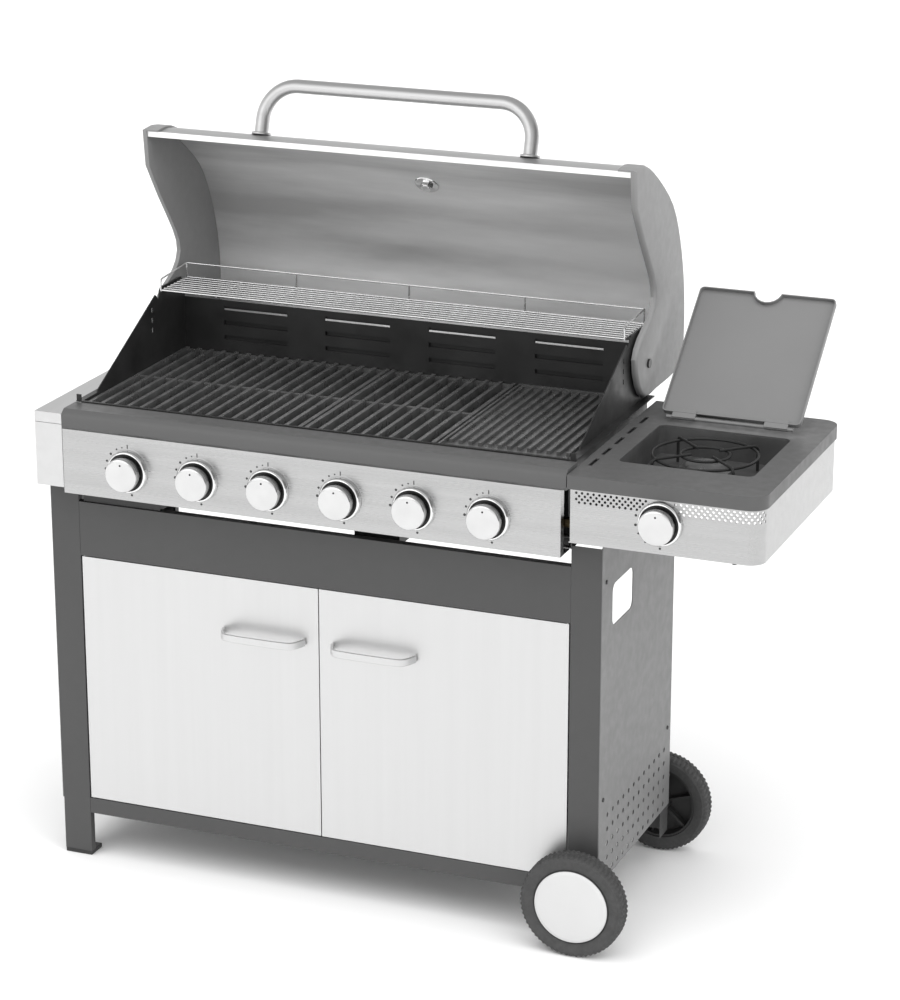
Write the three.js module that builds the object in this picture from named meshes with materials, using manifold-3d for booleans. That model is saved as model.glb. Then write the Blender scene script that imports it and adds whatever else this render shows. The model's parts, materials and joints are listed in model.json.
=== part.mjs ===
// A six-burner gas barbecue grill on a wheeled cabinet, with a side burner shelf on its right.
// Millimetres, +Z up. The front faces -Y. X is measured from the outer face of the left legs,
// Y from the front face of the doors, Z from the floor. The finished grill is then centred.

import * as THREE from 'three';
import { mergeVertices } from 'three/addons/utils/BufferGeometryUtils.js';
import Module from 'manifold-3d';

const wasm = await Module();
wasm.setup();

// ---------- driving dimensions ----------

const GAP = 0.3;                 // running gap between neighbouring pieces
const SHEET = 1.5;               // folded steel sheet

// cabinet
const CART_WIDTH = 1000;
const CART_DEPTH = 372;
const LEG_WIDTH = 54;
const LEG_DEPTH = 40;
const LEG_RETURN = 14;
const LEG_TOP = 696;
const WHEEL_LEG_BOTTOM = 54;     // the legs over the wheels stop short of the floor
const FOOT_HEIGHT = 8;
const PANEL_BOTTOM = 105;
const SUPPORT_TOP = 710;         // top of the flange that carries the firebox
const SUPPORT_REACH = 80;
const RUNNER_TOP = 687.5;        // drip tray runner
const RAIL_BOTTOM = 83;
const RAIL_TOP = 111.5;
const DOOR_BOTTOM = 113;
const DOOR_TOP = 561.5;
const FASCIA_BOTTOM = 563;
const FASCIA_TOP = 660;
const REAR_RAIL_BOTTOM = 590;
const REAR_RAIL_TOP = 622;
const FLANGE = 16;               // folded edge of the fascia and rails
const HAND_HOLE = { y0: 50, y1: 152, z0: 548, z1: 620, radius: 14 };

// doors
const DOOR_THICKNESS = 18;
const DOOR_SIDE_GAP = 2.5;
const DOOR_SPLIT_GAP = 0.8;
const DOOR_PIN_X = 6;            // pin centre, from the leg
const DOOR_PIN_Y = 4.5;
const DOOR_PIN_RADIUS = 2.5;
const PULL_LENGTH = 146;
const PULL_REACH = 30;
const PULL_HEIGHT = 13;
const PULL_Z = 464;
const PULL_FROM_SPLIT = 101;

// wheels
const WHEEL_X = 973;
const WHEEL_RADIUS = 90;
const TYRE_WIDTH = 36;
const TYRE_BORE = 66;
const WHEEL_FRONT_Y = -42;       // centre plane of the front wheel
const WHEEL_REAR_Y = CART_DEPTH - WHEEL_FRONT_Y;
const AXLE_RADIUS = 6;
const WHEEL_SIDES = 32;

// control panel and its knobs
const PANEL_FACE_Y = -44;
const PANEL_LEFT = 52;
const PANEL_RIGHT = 943;
const PANEL_LOW = 689;
const PANEL_HIGH = 802;
const PANEL_RETURN = 15;
const KNOB_COUNT = 6;
const KNOB_PITCH = 129.3;
const KNOB_ROW_MIDDLE = 497.5;
const KNOB_Z = 741;
const KNOB_RADIUS = 29;
const KNOB_DEPTH = 27;
const BEZEL_RADIUS = 35.5;
const BEZEL_HEIGHT = 6;
const KNOB_SIDES = 20;
const STEM_RADIUS = 4;
const SIDE_KNOB_X = 1109;
const SIDE_KNOB_Z = 768;
const MANIFOLD_Y = -17;
const MANIFOLD_RADIUS = 9;

// trim bar over the control panel, and the filler strip on the left
const TRIM_LEFT = 53;
const TRIM_RIGHT = 952.5;
const TRIM_LOW = 802.5;
const TRIM_HIGH = 836;
const STRIP_WIDTH = 51.5;
const STRIP_LOW = 698;
const STRIP_SPLIT = 809;
const STRIP_HIGH = 828;
const STRIP_BACK = 390;

// firebox
const RIM_LEFT = 54;
const RIM_RIGHT = 950;
const RIM_Z = 838;
const BOX_LEFT = 63;
const BOX_RIGHT = 937;
const BOX_FRONT = 8;
const BOX_BACK = 398;
const BOX_FLOOR = SUPPORT_TOP + GAP;
const WALL = 2;
const GRATE_LEDGE = 818;
const TAMER_LEDGE = 786;
const REAR_WALL_TOP = 926;
const WING_TOP = 965;
const LOUVRE_WIDTH = 124;
const LOUVRE_HEIGHT = 8;
const LOUVRE_PITCH_X = 197;
const LOUVRE_PITCH_Z = 27;
const LOUVRE_TOP_Z = 908;

// burners and cooking surfaces
const BURNER_Z = 748;
const BURNER_RADIUS = 15;
const NECK_RADIUS = 9;
const TAMER_HALF_WIDTH = 34;
const TAMER_HEIGHT = 20;
const GRATE_TOP = 834;
const GRATE_FRONT = 12;
const GRATE_BACK = 394;
const BAR_WIDTH = 7;
const BAR_PITCH = 24;
const GRATE_LEFT_SPAN = [67, 464];
const GRATE_MIDDLE_SPAN = [469, 701];
const GRIDDLE_SPAN = [706, 933];
const RACK_Z = 962;
const RACK_FRONT = 292;
const RACK_BACK = 398;
const RACK_WIRE = 2;
const RACK_RODS = 9;
const RACK_BACKSTOP = 26;

// lid: its outline is in the closed position, as Y and Z from the hinge pin
const HINGE_Y = 360;
const HINGE_Z = 905;
const LID_OPEN = THREE.MathUtils.degToRad(87.4);
const PIN_RADIUS = 4;
const CAP_OUTER_X = 50;
const CAP_THICKNESS = 10;
const CAP_FLANGE_X = 82;
const CAP_FLANGE = 3;
const LID_CURVE = [
  [-348, -66], [-345, -14], [-306, 56], [-242, 133], [-173, 172],
  [-96, 194], [-25, 199], [42, 190], [63, 152], [61, 44],
];
const CAP_EDGE = [
  [61, 44], [58, -12], [26, -46], [-23, -60], [-52, -32], [-74, 18],
  [-103, 40], [-143, 27], [-216, -22], [-282, -62],
];
const LIP = 13;
const HANDLE_HALF = 246;
const HANDLE_REACH = 88;
const HANDLE_BEND = 58;
const HANDLE_RADIUS = 12;
const HANDLE_SPOT = 1.02;        // place along LID_CURVE, in points
const GAUGE_SPOT = 3.0;
const GAUGE_RADIUS = 32;

// side shelf and burner
const SHELF_LEFT = 954;
const SHELF_RIGHT = 1277;
const SHELF_FRONT = -48;
const SHELF_BACK = 396;
const SHELF_TOP = 830;
const SHELF_RIM = 23;
const SHELF_CORNER = 30;
const SKIRT_INSET = 3;
const SKIRT_LOW = 717;
const OPENING = { x0: 1004, x1: 1229, y0: 50, y1: 268, radius: 12 };
const VENT_SLOTS = 5;
const BOWL_FLOOR = 778;
const SIDE_BURNER_Y = 158;
const SIDE_BURNER_RADIUS = 44;
const SIDE_LID_LEFT = 998;
const SIDE_LID_RIGHT = 1236;
const SIDE_LID_LENGTH = 268;
const SIDE_LID_HINGE_Y = 285;
const SIDE_LID_HINGE_Z = 840;
const SIDE_LID_OPEN = THREE.MathUtils.degToRad(141);
const SIDE_LID_THICKNESS = 9;
const NOTCH_RADIUS = 24;

// ---------- materials ----------

function finish(color, roughness, metalness) {
  return new THREE.MeshStandardMaterial({ color, roughness, metalness });
}

const greyPaint = finish(0x54575a, 0.55, 0.2);
const palePaint = finish(0x8d8f91, 0.5, 0.2);
const trimPaint = finish(0x5f6163, 0.5, 0.2);
const brushedSteel = finish(0xc9cacb, 0.35, 0.9);
const chrome = finish(0xe2e4e6, 0.12, 1);
const castIron = finish(0x26272a, 0.7, 0.3);
const blackEnamel = finish(0x1b1c1e, 0.45, 0.1);
const rubber = finish(0x232426, 0.85, 0);
const palePlastic = finish(0xd9dadb, 0.45, 0);
const blackPlastic = finish(0x1d1e20, 0.6, 0);
const brass = finish(0xb29a5c, 0.4, 0.9);

// ---------- shape helpers ----------

function volumeOf(geometry) {
  const p = geometry.getAttribute('position');
  const index = geometry.getIndex();
  const [a, b, c] = [new THREE.Vector3(), new THREE.Vector3(), new THREE.Vector3()];
  let sum = 0;
  for (let i = 0; i < index.count; i += 3) {
    a.fromBufferAttribute(p, index.getX(i));
    b.fromBufferAttribute(p, index.getX(i + 1));
    c.fromBufferAttribute(p, index.getX(i + 2));
    sum += a.dot(b.cross(c)) / 6;
  }
  return sum;
}

function solid(geometry) {
  const bare = geometry.clone();
  bare.deleteAttribute('normal');
  bare.deleteAttribute('uv');
  const welded = mergeVertices(bare, 1e-3);
  const triVerts = new Uint32Array(welded.getIndex().array);
  if (volumeOf(welded) < 0) {
    triVerts.reverse();
  }
  const places = welded.getAttribute('position').array;
  const vertProperties = new Float32Array(places).map((v) => Math.round(v * 1000) / 1000);
  return new wasm.Manifold(new wasm.Mesh({ numProp: 3, vertProperties, triVerts }));
}

function geometryOf(body) {
  const mesh = body.getMesh();
  const geometry = new THREE.BufferGeometry();
  geometry.setAttribute('position', new THREE.BufferAttribute(new Float32Array(mesh.vertProperties), 3));
  geometry.setIndex(new THREE.BufferAttribute(new Uint32Array(mesh.triVerts), 1));
  geometry.computeVertexNormals();
  return geometry;
}

function combine(kept, removed = []) {
  let body = solid(kept[0]);
  for (const piece of kept.slice(1)) {
    body = body.add(solid(piece));
  }
  for (const piece of removed) {
    body = body.subtract(solid(piece));
  }
  return geometryOf(body);
}

function box(x0, x1, y0, y1, z0, z1) {
  const geometry = new THREE.BoxGeometry(x1 - x0, y1 - y0, z1 - z0);
  return geometry.translate((x0 + x1) / 2, (y0 + y1) / 2, (z0 + z1) / 2);
}

function rodY(radius, x, z, y0, y1, sides = 16) {
  return new THREE.CylinderGeometry(radius, radius, y1 - y0, sides).translate(x, (y0 + y1) / 2, z);
}

function rodX(radius, y, z, x0, x1, sides = 16) {
  const geometry = new THREE.CylinderGeometry(radius, radius, x1 - x0, sides).rotateZ(Math.PI / 2);
  return geometry.translate((x0 + x1) / 2, y, z);
}

function rodZ(radius, x, y, z0, z1, sides = 16) {
  const geometry = new THREE.CylinderGeometry(radius, radius, z1 - z0, sides).rotateX(Math.PI / 2);
  return geometry.translate(x, y, (z0 + z1) / 2);
}

function outline(points) {
  return new THREE.Shape(points.map(([a, b]) => new THREE.Vector2(a, b)));
}

function extrude(shape, length, curveSegments = 4) {
  return new THREE.ExtrudeGeometry(shape, { depth: length, bevelEnabled: false, curveSegments });
}

// a shape drawn in Y and Z, drawn out along X
function alongX(shape, x0, x1) {
  const basis = new THREE.Matrix4().makeBasis(
    new THREE.Vector3(0, 1, 0), new THREE.Vector3(0, 0, 1), new THREE.Vector3(1, 0, 0));
  return extrude(shape, x1 - x0).applyMatrix4(basis).translate(x0, 0, 0);
}

// a shape drawn in X and Y, drawn out along Z
function alongZ(shape, z0, z1, curveSegments) {
  return extrude(shape, z1 - z0, curveSegments).translate(0, 0, z0);
}

function roundedRectangle(x0, x1, y0, y1, radius) {
  const shape = new THREE.Shape();
  shape.moveTo(x0 + radius, y0);
  shape.lineTo(x1 - radius, y0);
  shape.absarc(x1 - radius, y0 + radius, radius, -Math.PI / 2, 0);
  shape.lineTo(x1, y1 - radius);
  shape.absarc(x1 - radius, y1 - radius, radius, 0, Math.PI / 2);
  shape.lineTo(x0 + radius, y1);
  shape.absarc(x0 + radius, y1 - radius, radius, Math.PI / 2, Math.PI);
  shape.lineTo(x0, y0 + radius);
  shape.absarc(x0 + radius, y0 + radius, radius, Math.PI, Math.PI * 1.5);
  return shape;
}

// points moved sideways to the right of the way the path runs
function moved(path, distance) {
  return path.map((point, i) => {
    const before = path[Math.max(i - 1, 0)];
    const after = path[Math.min(i + 1, path.length - 1)];
    const into = new THREE.Vector2(point[0] - before[0], point[1] - before[1]).normalize();
    const out = new THREE.Vector2(after[0] - point[0], after[1] - point[1]).normalize();
    const way = into.clone().add(out).normalize();
    const side = new THREE.Vector2(way.y, -way.x);
    const face = i > 0 ? new THREE.Vector2(into.y, -into.x) : new THREE.Vector2(out.y, -out.x);
    const reach = distance / side.dot(face);
    return [point[0] + side.x * reach, point[1] + side.y * reach];
  });
}

function ribbon(path, near, far) {
  return outline([...moved(path, near), ...moved(path, far).reverse()]);
}

// points of a smooth curve through the given ones, a few between each pair
function smooth(points, between) {
  const curve = new THREE.SplineCurve(points.map(([a, b]) => new THREE.Vector2(a, b)));
  return curve.getPoints((points.length - 1) * between).map((p) => [p.x, p.y]);
}

// a turned piece: profile points are radius and distance along the axis, which lies along +Y
function turned(profile, sides) {
  return new THREE.LatheGeometry(profile.map(([r, y]) => new THREE.Vector2(r, y)), sides);
}

const grill = new THREE.Group();
const cart = new THREE.Group();
grill.add(cart);

function place(name, geometry, material, parent = cart, position = [0, 0, 0]) {
  const mesh = new THREE.Mesh(geometry, material);
  mesh.name = name;
  mesh.position.set(...position);
  parent.add(mesh);
  return mesh;
}

function mirrored(geometry) {
  return geometryOf(solid(geometry).mirror([1, 0, 0]).translate([CART_WIDTH, 0, 0]));
}

// ---------- cabinet ----------

// an open channel: a front face, a full side and a short return, for the left front corner
function legChannel(bottom) {
  const outer = SHEET + GAP;
  const face = box(outer, LEG_WIDTH, 0, SHEET, bottom, LEG_TOP);
  const side = box(outer, outer + SHEET, 0, LEG_DEPTH, bottom, LEG_TOP);
  const inner = box(LEG_WIDTH - SHEET, LEG_WIDTH, 0, LEG_RETURN, bottom, LEG_TOP);
  return combine([face, side, inner]);
}

function backToFront(geometry) {
  return geometryOf(solid(geometry).mirror([0, 1, 0]).translate([0, CART_DEPTH, 0]));
}

function buildLegs() {
  const left = legChannel(FOOT_HEIGHT);
  const hole = rodY(AXLE_RADIUS + 0.5, WHEEL_X, WHEEL_RADIUS, -5, LEG_DEPTH + 5);
  const right = combine([mirrored(legChannel(WHEEL_LEG_BOTTOM))], [hole]);
  place('leg_front_left', left, greyPaint);
  place('leg_rear_left', backToFront(left), greyPaint);
  place('leg_front_right', right, greyPaint);
  place('leg_rear_right', backToFront(right), greyPaint);
  const foot = box(SHEET, LEG_WIDTH - SHEET, SHEET, LEG_DEPTH, 0, FOOT_HEIGHT - GAP);
  place('foot_front_left', foot, blackPlastic);
  place('foot_rear_left', backToFront(foot), blackPlastic);
}

// the side sheet, the flange that carries the firebox and the runner for the drip tray
function sidePanel() {
  const sheet = box(0, SHEET, 0, CART_DEPTH, PANEL_BOTTOM, SUPPORT_TOP);
  const flange = box(0, SUPPORT_REACH, 0, CART_DEPTH, SUPPORT_TOP - 2, SUPPORT_TOP);
  const web = box(58, 58 + SHEET, 12, CART_DEPTH - 2, RUNNER_TOP - SHEET, SUPPORT_TOP - 1);
  const runner = box(58, 76, 12, CART_DEPTH - 2, RUNNER_TOP - SHEET, RUNNER_TOP);
  return combine([sheet, flange, web, runner]);
}

function buildSidePanels() {
  const left = sidePanel();
  const h = HAND_HOLE;
  const hole = alongX(roundedRectangle(h.y0, h.y1, h.z0, h.z1, h.radius), CART_WIDTH - 10, CART_WIDTH + 10);
  place('side_panel_left', left, greyPaint);
  place('side_panel_right', combine([mirrored(left)], [hole]), greyPaint);
}

// a strip across the front between the legs, folded back along its top and bottom edges
function crossChannel(bottom, top) {
  const left = LEG_WIDTH + GAP;
  const right = CART_WIDTH - left;
  return [
    box(left, right, 0, SHEET, bottom, top),
    box(left, right, 0, FLANGE, bottom, bottom + SHEET),
    box(left, right, 0, FLANGE, top - SHEET, top),
  ];
}

function doorPinHoles(z0, z1) {
  const radius = DOOR_PIN_RADIUS + 0.4;
  const fromEdge = LEG_WIDTH + DOOR_PIN_X;
  return [fromEdge, CART_WIDTH - fromEdge].map((x) => rodZ(radius, x, DOOR_PIN_Y, z0, z1, 12));
}

function buildCrossMembers() {
  const fascia = crossChannel(FASCIA_BOTTOM, FASCIA_TOP);
  const rail = crossChannel(RAIL_BOTTOM, RAIL_TOP);
  place('front_fascia', combine(fascia, doorPinHoles(FASCIA_BOTTOM - 2, FASCIA_BOTTOM + 4)), greyPaint);
  place('front_bottom_rail', combine(rail, doorPinHoles(RAIL_TOP - 4, RAIL_TOP + 2)), greyPaint);
  const back = combine(crossChannel(REAR_RAIL_BOTTOM, REAR_RAIL_TOP));
  place('rear_top_rail', backToFront(back), greyPaint);
}

function buildBottomShelf() {
  const left = LEG_WIDTH + GAP;
  const right = CART_WIDTH - left;
  const top = RAIL_TOP - 4;
  const front = FLANGE + GAP;
  const back = CART_DEPTH;
  const tray = outline([
    [front, RAIL_BOTTOM], [front + SHEET, RAIL_BOTTOM], [front + SHEET, top - SHEET],
    [back - SHEET, top - SHEET], [back - SHEET, RAIL_BOTTOM], [back, RAIL_BOTTOM],
    [back, top], [front, top],
  ]);
  const ribs = [0.33, 0.67].map((share) => {
    const x = left + (right - left) * share;
    return box(x - 10, x + 10, front + 1, CART_DEPTH - 1, top - 8, top - 1);
  });
  place('bottom_shelf', combine([alongX(tray, left, right), ...ribs]), greyPaint);
}

// ---------- doors ----------

// an open-backed pan with its hinge pins; X runs from the pin line towards the middle
function doorPan(width) {
  const edge = DOOR_SIDE_GAP - DOOR_PIN_X;
  const right = edge + width;
  const pan = box(edge, right, -DOOR_PIN_Y, DOOR_THICKNESS - DOOR_PIN_Y, DOOR_BOTTOM, DOOR_TOP);
  const hollow = box(
    edge + SHEET, right - SHEET, SHEET - DOOR_PIN_Y, DOOR_THICKNESS,
    DOOR_BOTTOM + SHEET, DOOR_TOP - SHEET);
  const block = 8;
  const blocks = [DOOR_BOTTOM, DOOR_TOP - block].map((z) =>
    box(edge, edge + 14, -DOOR_PIN_Y, DOOR_THICKNESS - DOOR_PIN_Y, z, z + block));
  const pins = [DOOR_BOTTOM - 3.5, DOOR_TOP - 2].map((z) => rodZ(DOOR_PIN_RADIUS, 0, 0, z, z + 5.5, 12));
  return combine([combine([pan], [hollow]), ...blocks, ...pins]);
}

// a flat strap bowed out from the door
function doorPull() {
  const half = PULL_LENGTH / 2;
  const path = smooth([
    [-half, -2], [-half + 10, -PULL_REACH * 0.8], [-half + 26, -PULL_REACH],
    [0, -PULL_REACH - 1], [half - 26, -PULL_REACH], [half - 10, -PULL_REACH * 0.8], [half, -2],
  ], 3);
  return alongZ(ribbon(path, 0, 5), -PULL_HEIGHT / 2, PULL_HEIGHT / 2);
}

function buildDoors() {
  const pinX = LEG_WIDTH + DOOR_PIN_X;
  const width = CART_WIDTH / 2 - LEG_WIDTH - DOOR_SIDE_GAP - DOOR_SPLIT_GAP;
  const sides = [['left', pinX, 1], ['right', CART_WIDTH - pinX, -1]];
  for (const [side, x, way] of sides) {
    const door = new THREE.Group();
    door.position.set(x, DOOR_PIN_Y, 0);
    cart.add(door);
    const pan = way > 0 ? doorPan(width) : geometryOf(solid(doorPan(width)).mirror([1, 0, 0]));
    place(`door_${side}`, pan, brushedSteel, door);
    const pullX = CART_WIDTH / 2 - way * PULL_FROM_SPLIT - x;
    place(`door_handle_${side}`, doorPull(), brushedSteel, door, [pullX, -DOOR_PIN_Y, PULL_Z]);
  }
}

// ---------- wheels ----------

function tyreGeometry() {
  const half = TYRE_WIDTH / 2;
  const profile = [
    [TYRE_BORE, -half + 3], [WHEEL_RADIUS - 7, -half], [WHEEL_RADIUS, -half + 9],
    [WHEEL_RADIUS, half - 9], [WHEEL_RADIUS - 7, half], [TYRE_BORE, half - 3], [TYRE_BORE, -half + 3],
  ];
  return geometryOf(solid(turned(profile, WHEEL_SIDES)));
}

// the outer side of the hub, a closed disc, is towards -Y
function hubGeometry() {
  const half = TYRE_WIDTH / 2;
  const rim = TYRE_BORE - GAP;
  const bore = AXLE_RADIUS + 0.5;
  const profile = [
    [0, -half - 2], [54, -half - 1], [rim, -half + 4], [rim, half - 4], [rim - 5, half - 4],
    [rim - 5, -half + 8], [18, -half + 8], [18, half - 2], [bore, half - 2], [bore, -half + 3],
    [0, -half + 3],
  ];
  return geometryOf(solid(turned(profile, WHEEL_SIDES)));
}

function buildWheels() {
  const stops = [['front', WHEEL_FRONT_Y, 0], ['rear', WHEEL_REAR_Y, Math.PI]];
  for (const [end, y, turn] of stops) {
    const wheel = new THREE.Group();
    wheel.position.set(WHEEL_X, y, WHEEL_RADIUS);
    wheel.rotation.z = turn;
    cart.add(wheel);
    place(`tyre_${end}`, tyreGeometry(), rubber, wheel);
    place(`wheel_hub_${end}`, hubGeometry(), palePlastic, wheel);
  }
  const reach = TYRE_WIDTH / 2 - 4;
  const rod = rodY(AXLE_RADIUS, WHEEL_X, WHEEL_RADIUS, WHEEL_FRONT_Y - reach, WHEEL_REAR_Y + reach);
  const collars = [-6, CART_DEPTH + GAP].map((y) =>
    rodY(AXLE_RADIUS + 4, WHEEL_X, WHEEL_RADIUS, y, y + 6 - GAP));
  place('wheel_axle', combine([rod, ...collars]), chrome);
}

// ---------- control panel ----------

const knobColumns = Array.from({ length: KNOB_COUNT }, (_, i) =>
  KNOB_ROW_MIDDLE + KNOB_PITCH * (i - (KNOB_COUNT - 1) / 2));

// a raised ring round a stem hole, pressed out of the sheet towards -Y
function collar(x, z) {
  const profile = [
    [KNOB_RADIUS + 1, 0.8], [BEZEL_RADIUS, 0.8], [BEZEL_RADIUS - 3, -BEZEL_HEIGHT],
    [KNOB_RADIUS + 1, -BEZEL_HEIGHT], [KNOB_RADIUS + 1, 0.8],
  ];
  return turned(profile, KNOB_SIDES).translate(x, PANEL_FACE_Y, z);
}

function stemHole(x, z) {
  return rodY(STEM_RADIUS + 2, x, z, PANEL_FACE_Y - 10, PANEL_FACE_Y + 10, 12);
}

function buildControlPanel() {
  const back = PANEL_FACE_Y + PANEL_RETURN;
  const face = box(PANEL_LEFT, PANEL_RIGHT, PANEL_FACE_Y, PANEL_FACE_Y + SHEET, PANEL_LOW, PANEL_HIGH);
  const edges = [
    box(PANEL_LEFT, PANEL_LEFT + SHEET, PANEL_FACE_Y, back, PANEL_LOW, PANEL_HIGH),
    box(PANEL_RIGHT - SHEET, PANEL_RIGHT, PANEL_FACE_Y, back, PANEL_LOW, PANEL_HIGH),
    box(PANEL_LEFT, PANEL_RIGHT, PANEL_FACE_Y, -GAP, PANEL_LOW, PANEL_LOW + SHEET),
    box(PANEL_LEFT, PANEL_RIGHT, PANEL_FACE_Y, BOX_FRONT - GAP, PANEL_HIGH - SHEET, PANEL_HIGH),
  ];
  const collars = knobColumns.map((x) => collar(x, KNOB_Z));
  const holes = knobColumns.map((x) => stemHole(x, KNOB_Z));
  const inletHole = rodZ(9, PANEL_LEFT + 50, MANIFOLD_Y, PANEL_LOW - 5, PANEL_LOW + 5, 12);
  place('control_panel', combine([face, ...edges, ...collars], [...holes, inletHole]), brushedSteel);
}

// the dial: bored from behind for its stem, with a small raised pointer dot near the top
function knobGeometry() {
  const back = -2;
  const front = back - KNOB_DEPTH;
  const bore = STEM_RADIUS + 0.5;
  const profile = [
    [0, back - 16], [bore, back - 16], [bore, back], [KNOB_RADIUS, back],
    [KNOB_RADIUS, front + 2], [KNOB_RADIUS - 2, front], [0, front],
  ];
  const dot = rodY(2, 0, KNOB_RADIUS - 8, front - 0.6, front + 2, 6);
  return combine([turned(profile, KNOB_SIDES), dot]);
}

function buildKnobs() {
  knobColumns.forEach((x, i) => {
    place(`knob_${i + 1}`, knobGeometry(), chrome, cart, [x, PANEL_FACE_Y, KNOB_Z]);
  });
  place('side_knob', knobGeometry(), chrome, cart, [SIDE_KNOB_X, PANEL_FACE_Y, SIDE_KNOB_Z]);
}

// the gas pipe behind the panel, with a valve and stem at each knob and a nipple for the hose
function buildManifold() {
  const pipe = rodX(MANIFOLD_RADIUS, MANIFOLD_Y, KNOB_Z, PANEL_LEFT + 30, SIDE_KNOB_X + 20, 8);
  const inlet = rodZ(6, PANEL_LEFT + 50, MANIFOLD_Y, PANEL_LOW - 6, KNOB_Z, 12);
  const stops = [...knobColumns.map((x) => [x, KNOB_Z]), [SIDE_KNOB_X, SIDE_KNOB_Z]];
  const valves = stops.flatMap(([x, z]) => [
    box(x - 11, x + 11, MANIFOLD_Y - 15, MANIFOLD_Y + 8, KNOB_Z - 13, z + 13),
    rodY(STEM_RADIUS, x, z, PANEL_FACE_Y - 15, MANIFOLD_Y - 5, 8),
  ]);
  const jets = knobColumns.map((x) => rodY(5, x, BURNER_Z, MANIFOLD_Y, BOX_FRONT - 7, 8));
  place('gas_manifold', combine([pipe, inlet, ...valves, ...jets]), brass);
}

// the battery box of the igniter, standing on the folded top of the fascia
function buildIgniter() {
  const low = FASCIA_TOP + GAP;
  place('igniter_box', box(62, 208, 3, 48, low, low + 25), blackPlastic);
}

// a folded sheet with a rounded nose, closed at both ends
function buildTrim() {
  const front = PANEL_FACE_Y - 3;
  const back = BOX_FRONT - 4;
  const nose = [
    [front + 3, TRIM_LOW], [front, TRIM_LOW + 4], [front, TRIM_HIGH - 12], [front + 3, TRIM_HIGH - 5],
    [front + 10, TRIM_HIGH], [back, TRIM_HIGH],
  ];
  const sheet = alongX(ribbon(nose, 0, SHEET), TRIM_LEFT, TRIM_RIGHT);
  const section = outline([...nose, [back, TRIM_LOW]]);
  const ends = [
    alongX(section, TRIM_LEFT, TRIM_LEFT + SHEET),
    alongX(section, TRIM_RIGHT - SHEET, TRIM_RIGHT),
  ];
  place('front_trim', combine([sheet, ...ends]), trimPaint);
}

function buildFillerStrip() {
  const tray = box(0, STRIP_WIDTH, PANEL_FACE_Y, STRIP_BACK, STRIP_SPLIT + GAP, STRIP_HIGH);
  const hollow = box(
    SHEET, STRIP_WIDTH - SHEET, PANEL_FACE_Y + SHEET, STRIP_BACK - SHEET, STRIP_SPLIT, STRIP_HIGH - SHEET);
  place('filler_top', combine([tray], [hollow]), brushedSteel);
  const face = box(0, STRIP_WIDTH, PANEL_FACE_Y, PANEL_FACE_Y + SHEET, STRIP_LOW, STRIP_SPLIT);
  const corner = box(0, SHEET, PANEL_FACE_Y, 0, STRIP_LOW, STRIP_SPLIT);
  const side = box(0, SHEET, PANEL_FACE_Y, STRIP_BACK, SUPPORT_TOP + GAP, STRIP_SPLIT);
  const foot = box(0, 20, 0, STRIP_BACK, SUPPORT_TOP + GAP, SUPPORT_TOP + GAP + SHEET);
  place('filler_front', combine([face, corner, side, foot]), brushedSteel);
}

// ---------- firebox ----------

// the side of the firebox that rises behind the grates to the hinge pin and the warming rack
function wingShape() {
  return outline([
    [BOX_FRONT + 50, RIM_Z - 6], [BOX_FRONT + 54, RIM_Z + 4], [284, 955], [296, 944], [300, WING_TOP - 6],
    [306, WING_TOP], [384, WING_TOP], [BOX_BACK, 948], [BOX_BACK, RIM_Z - 6],
  ]);
}

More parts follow.
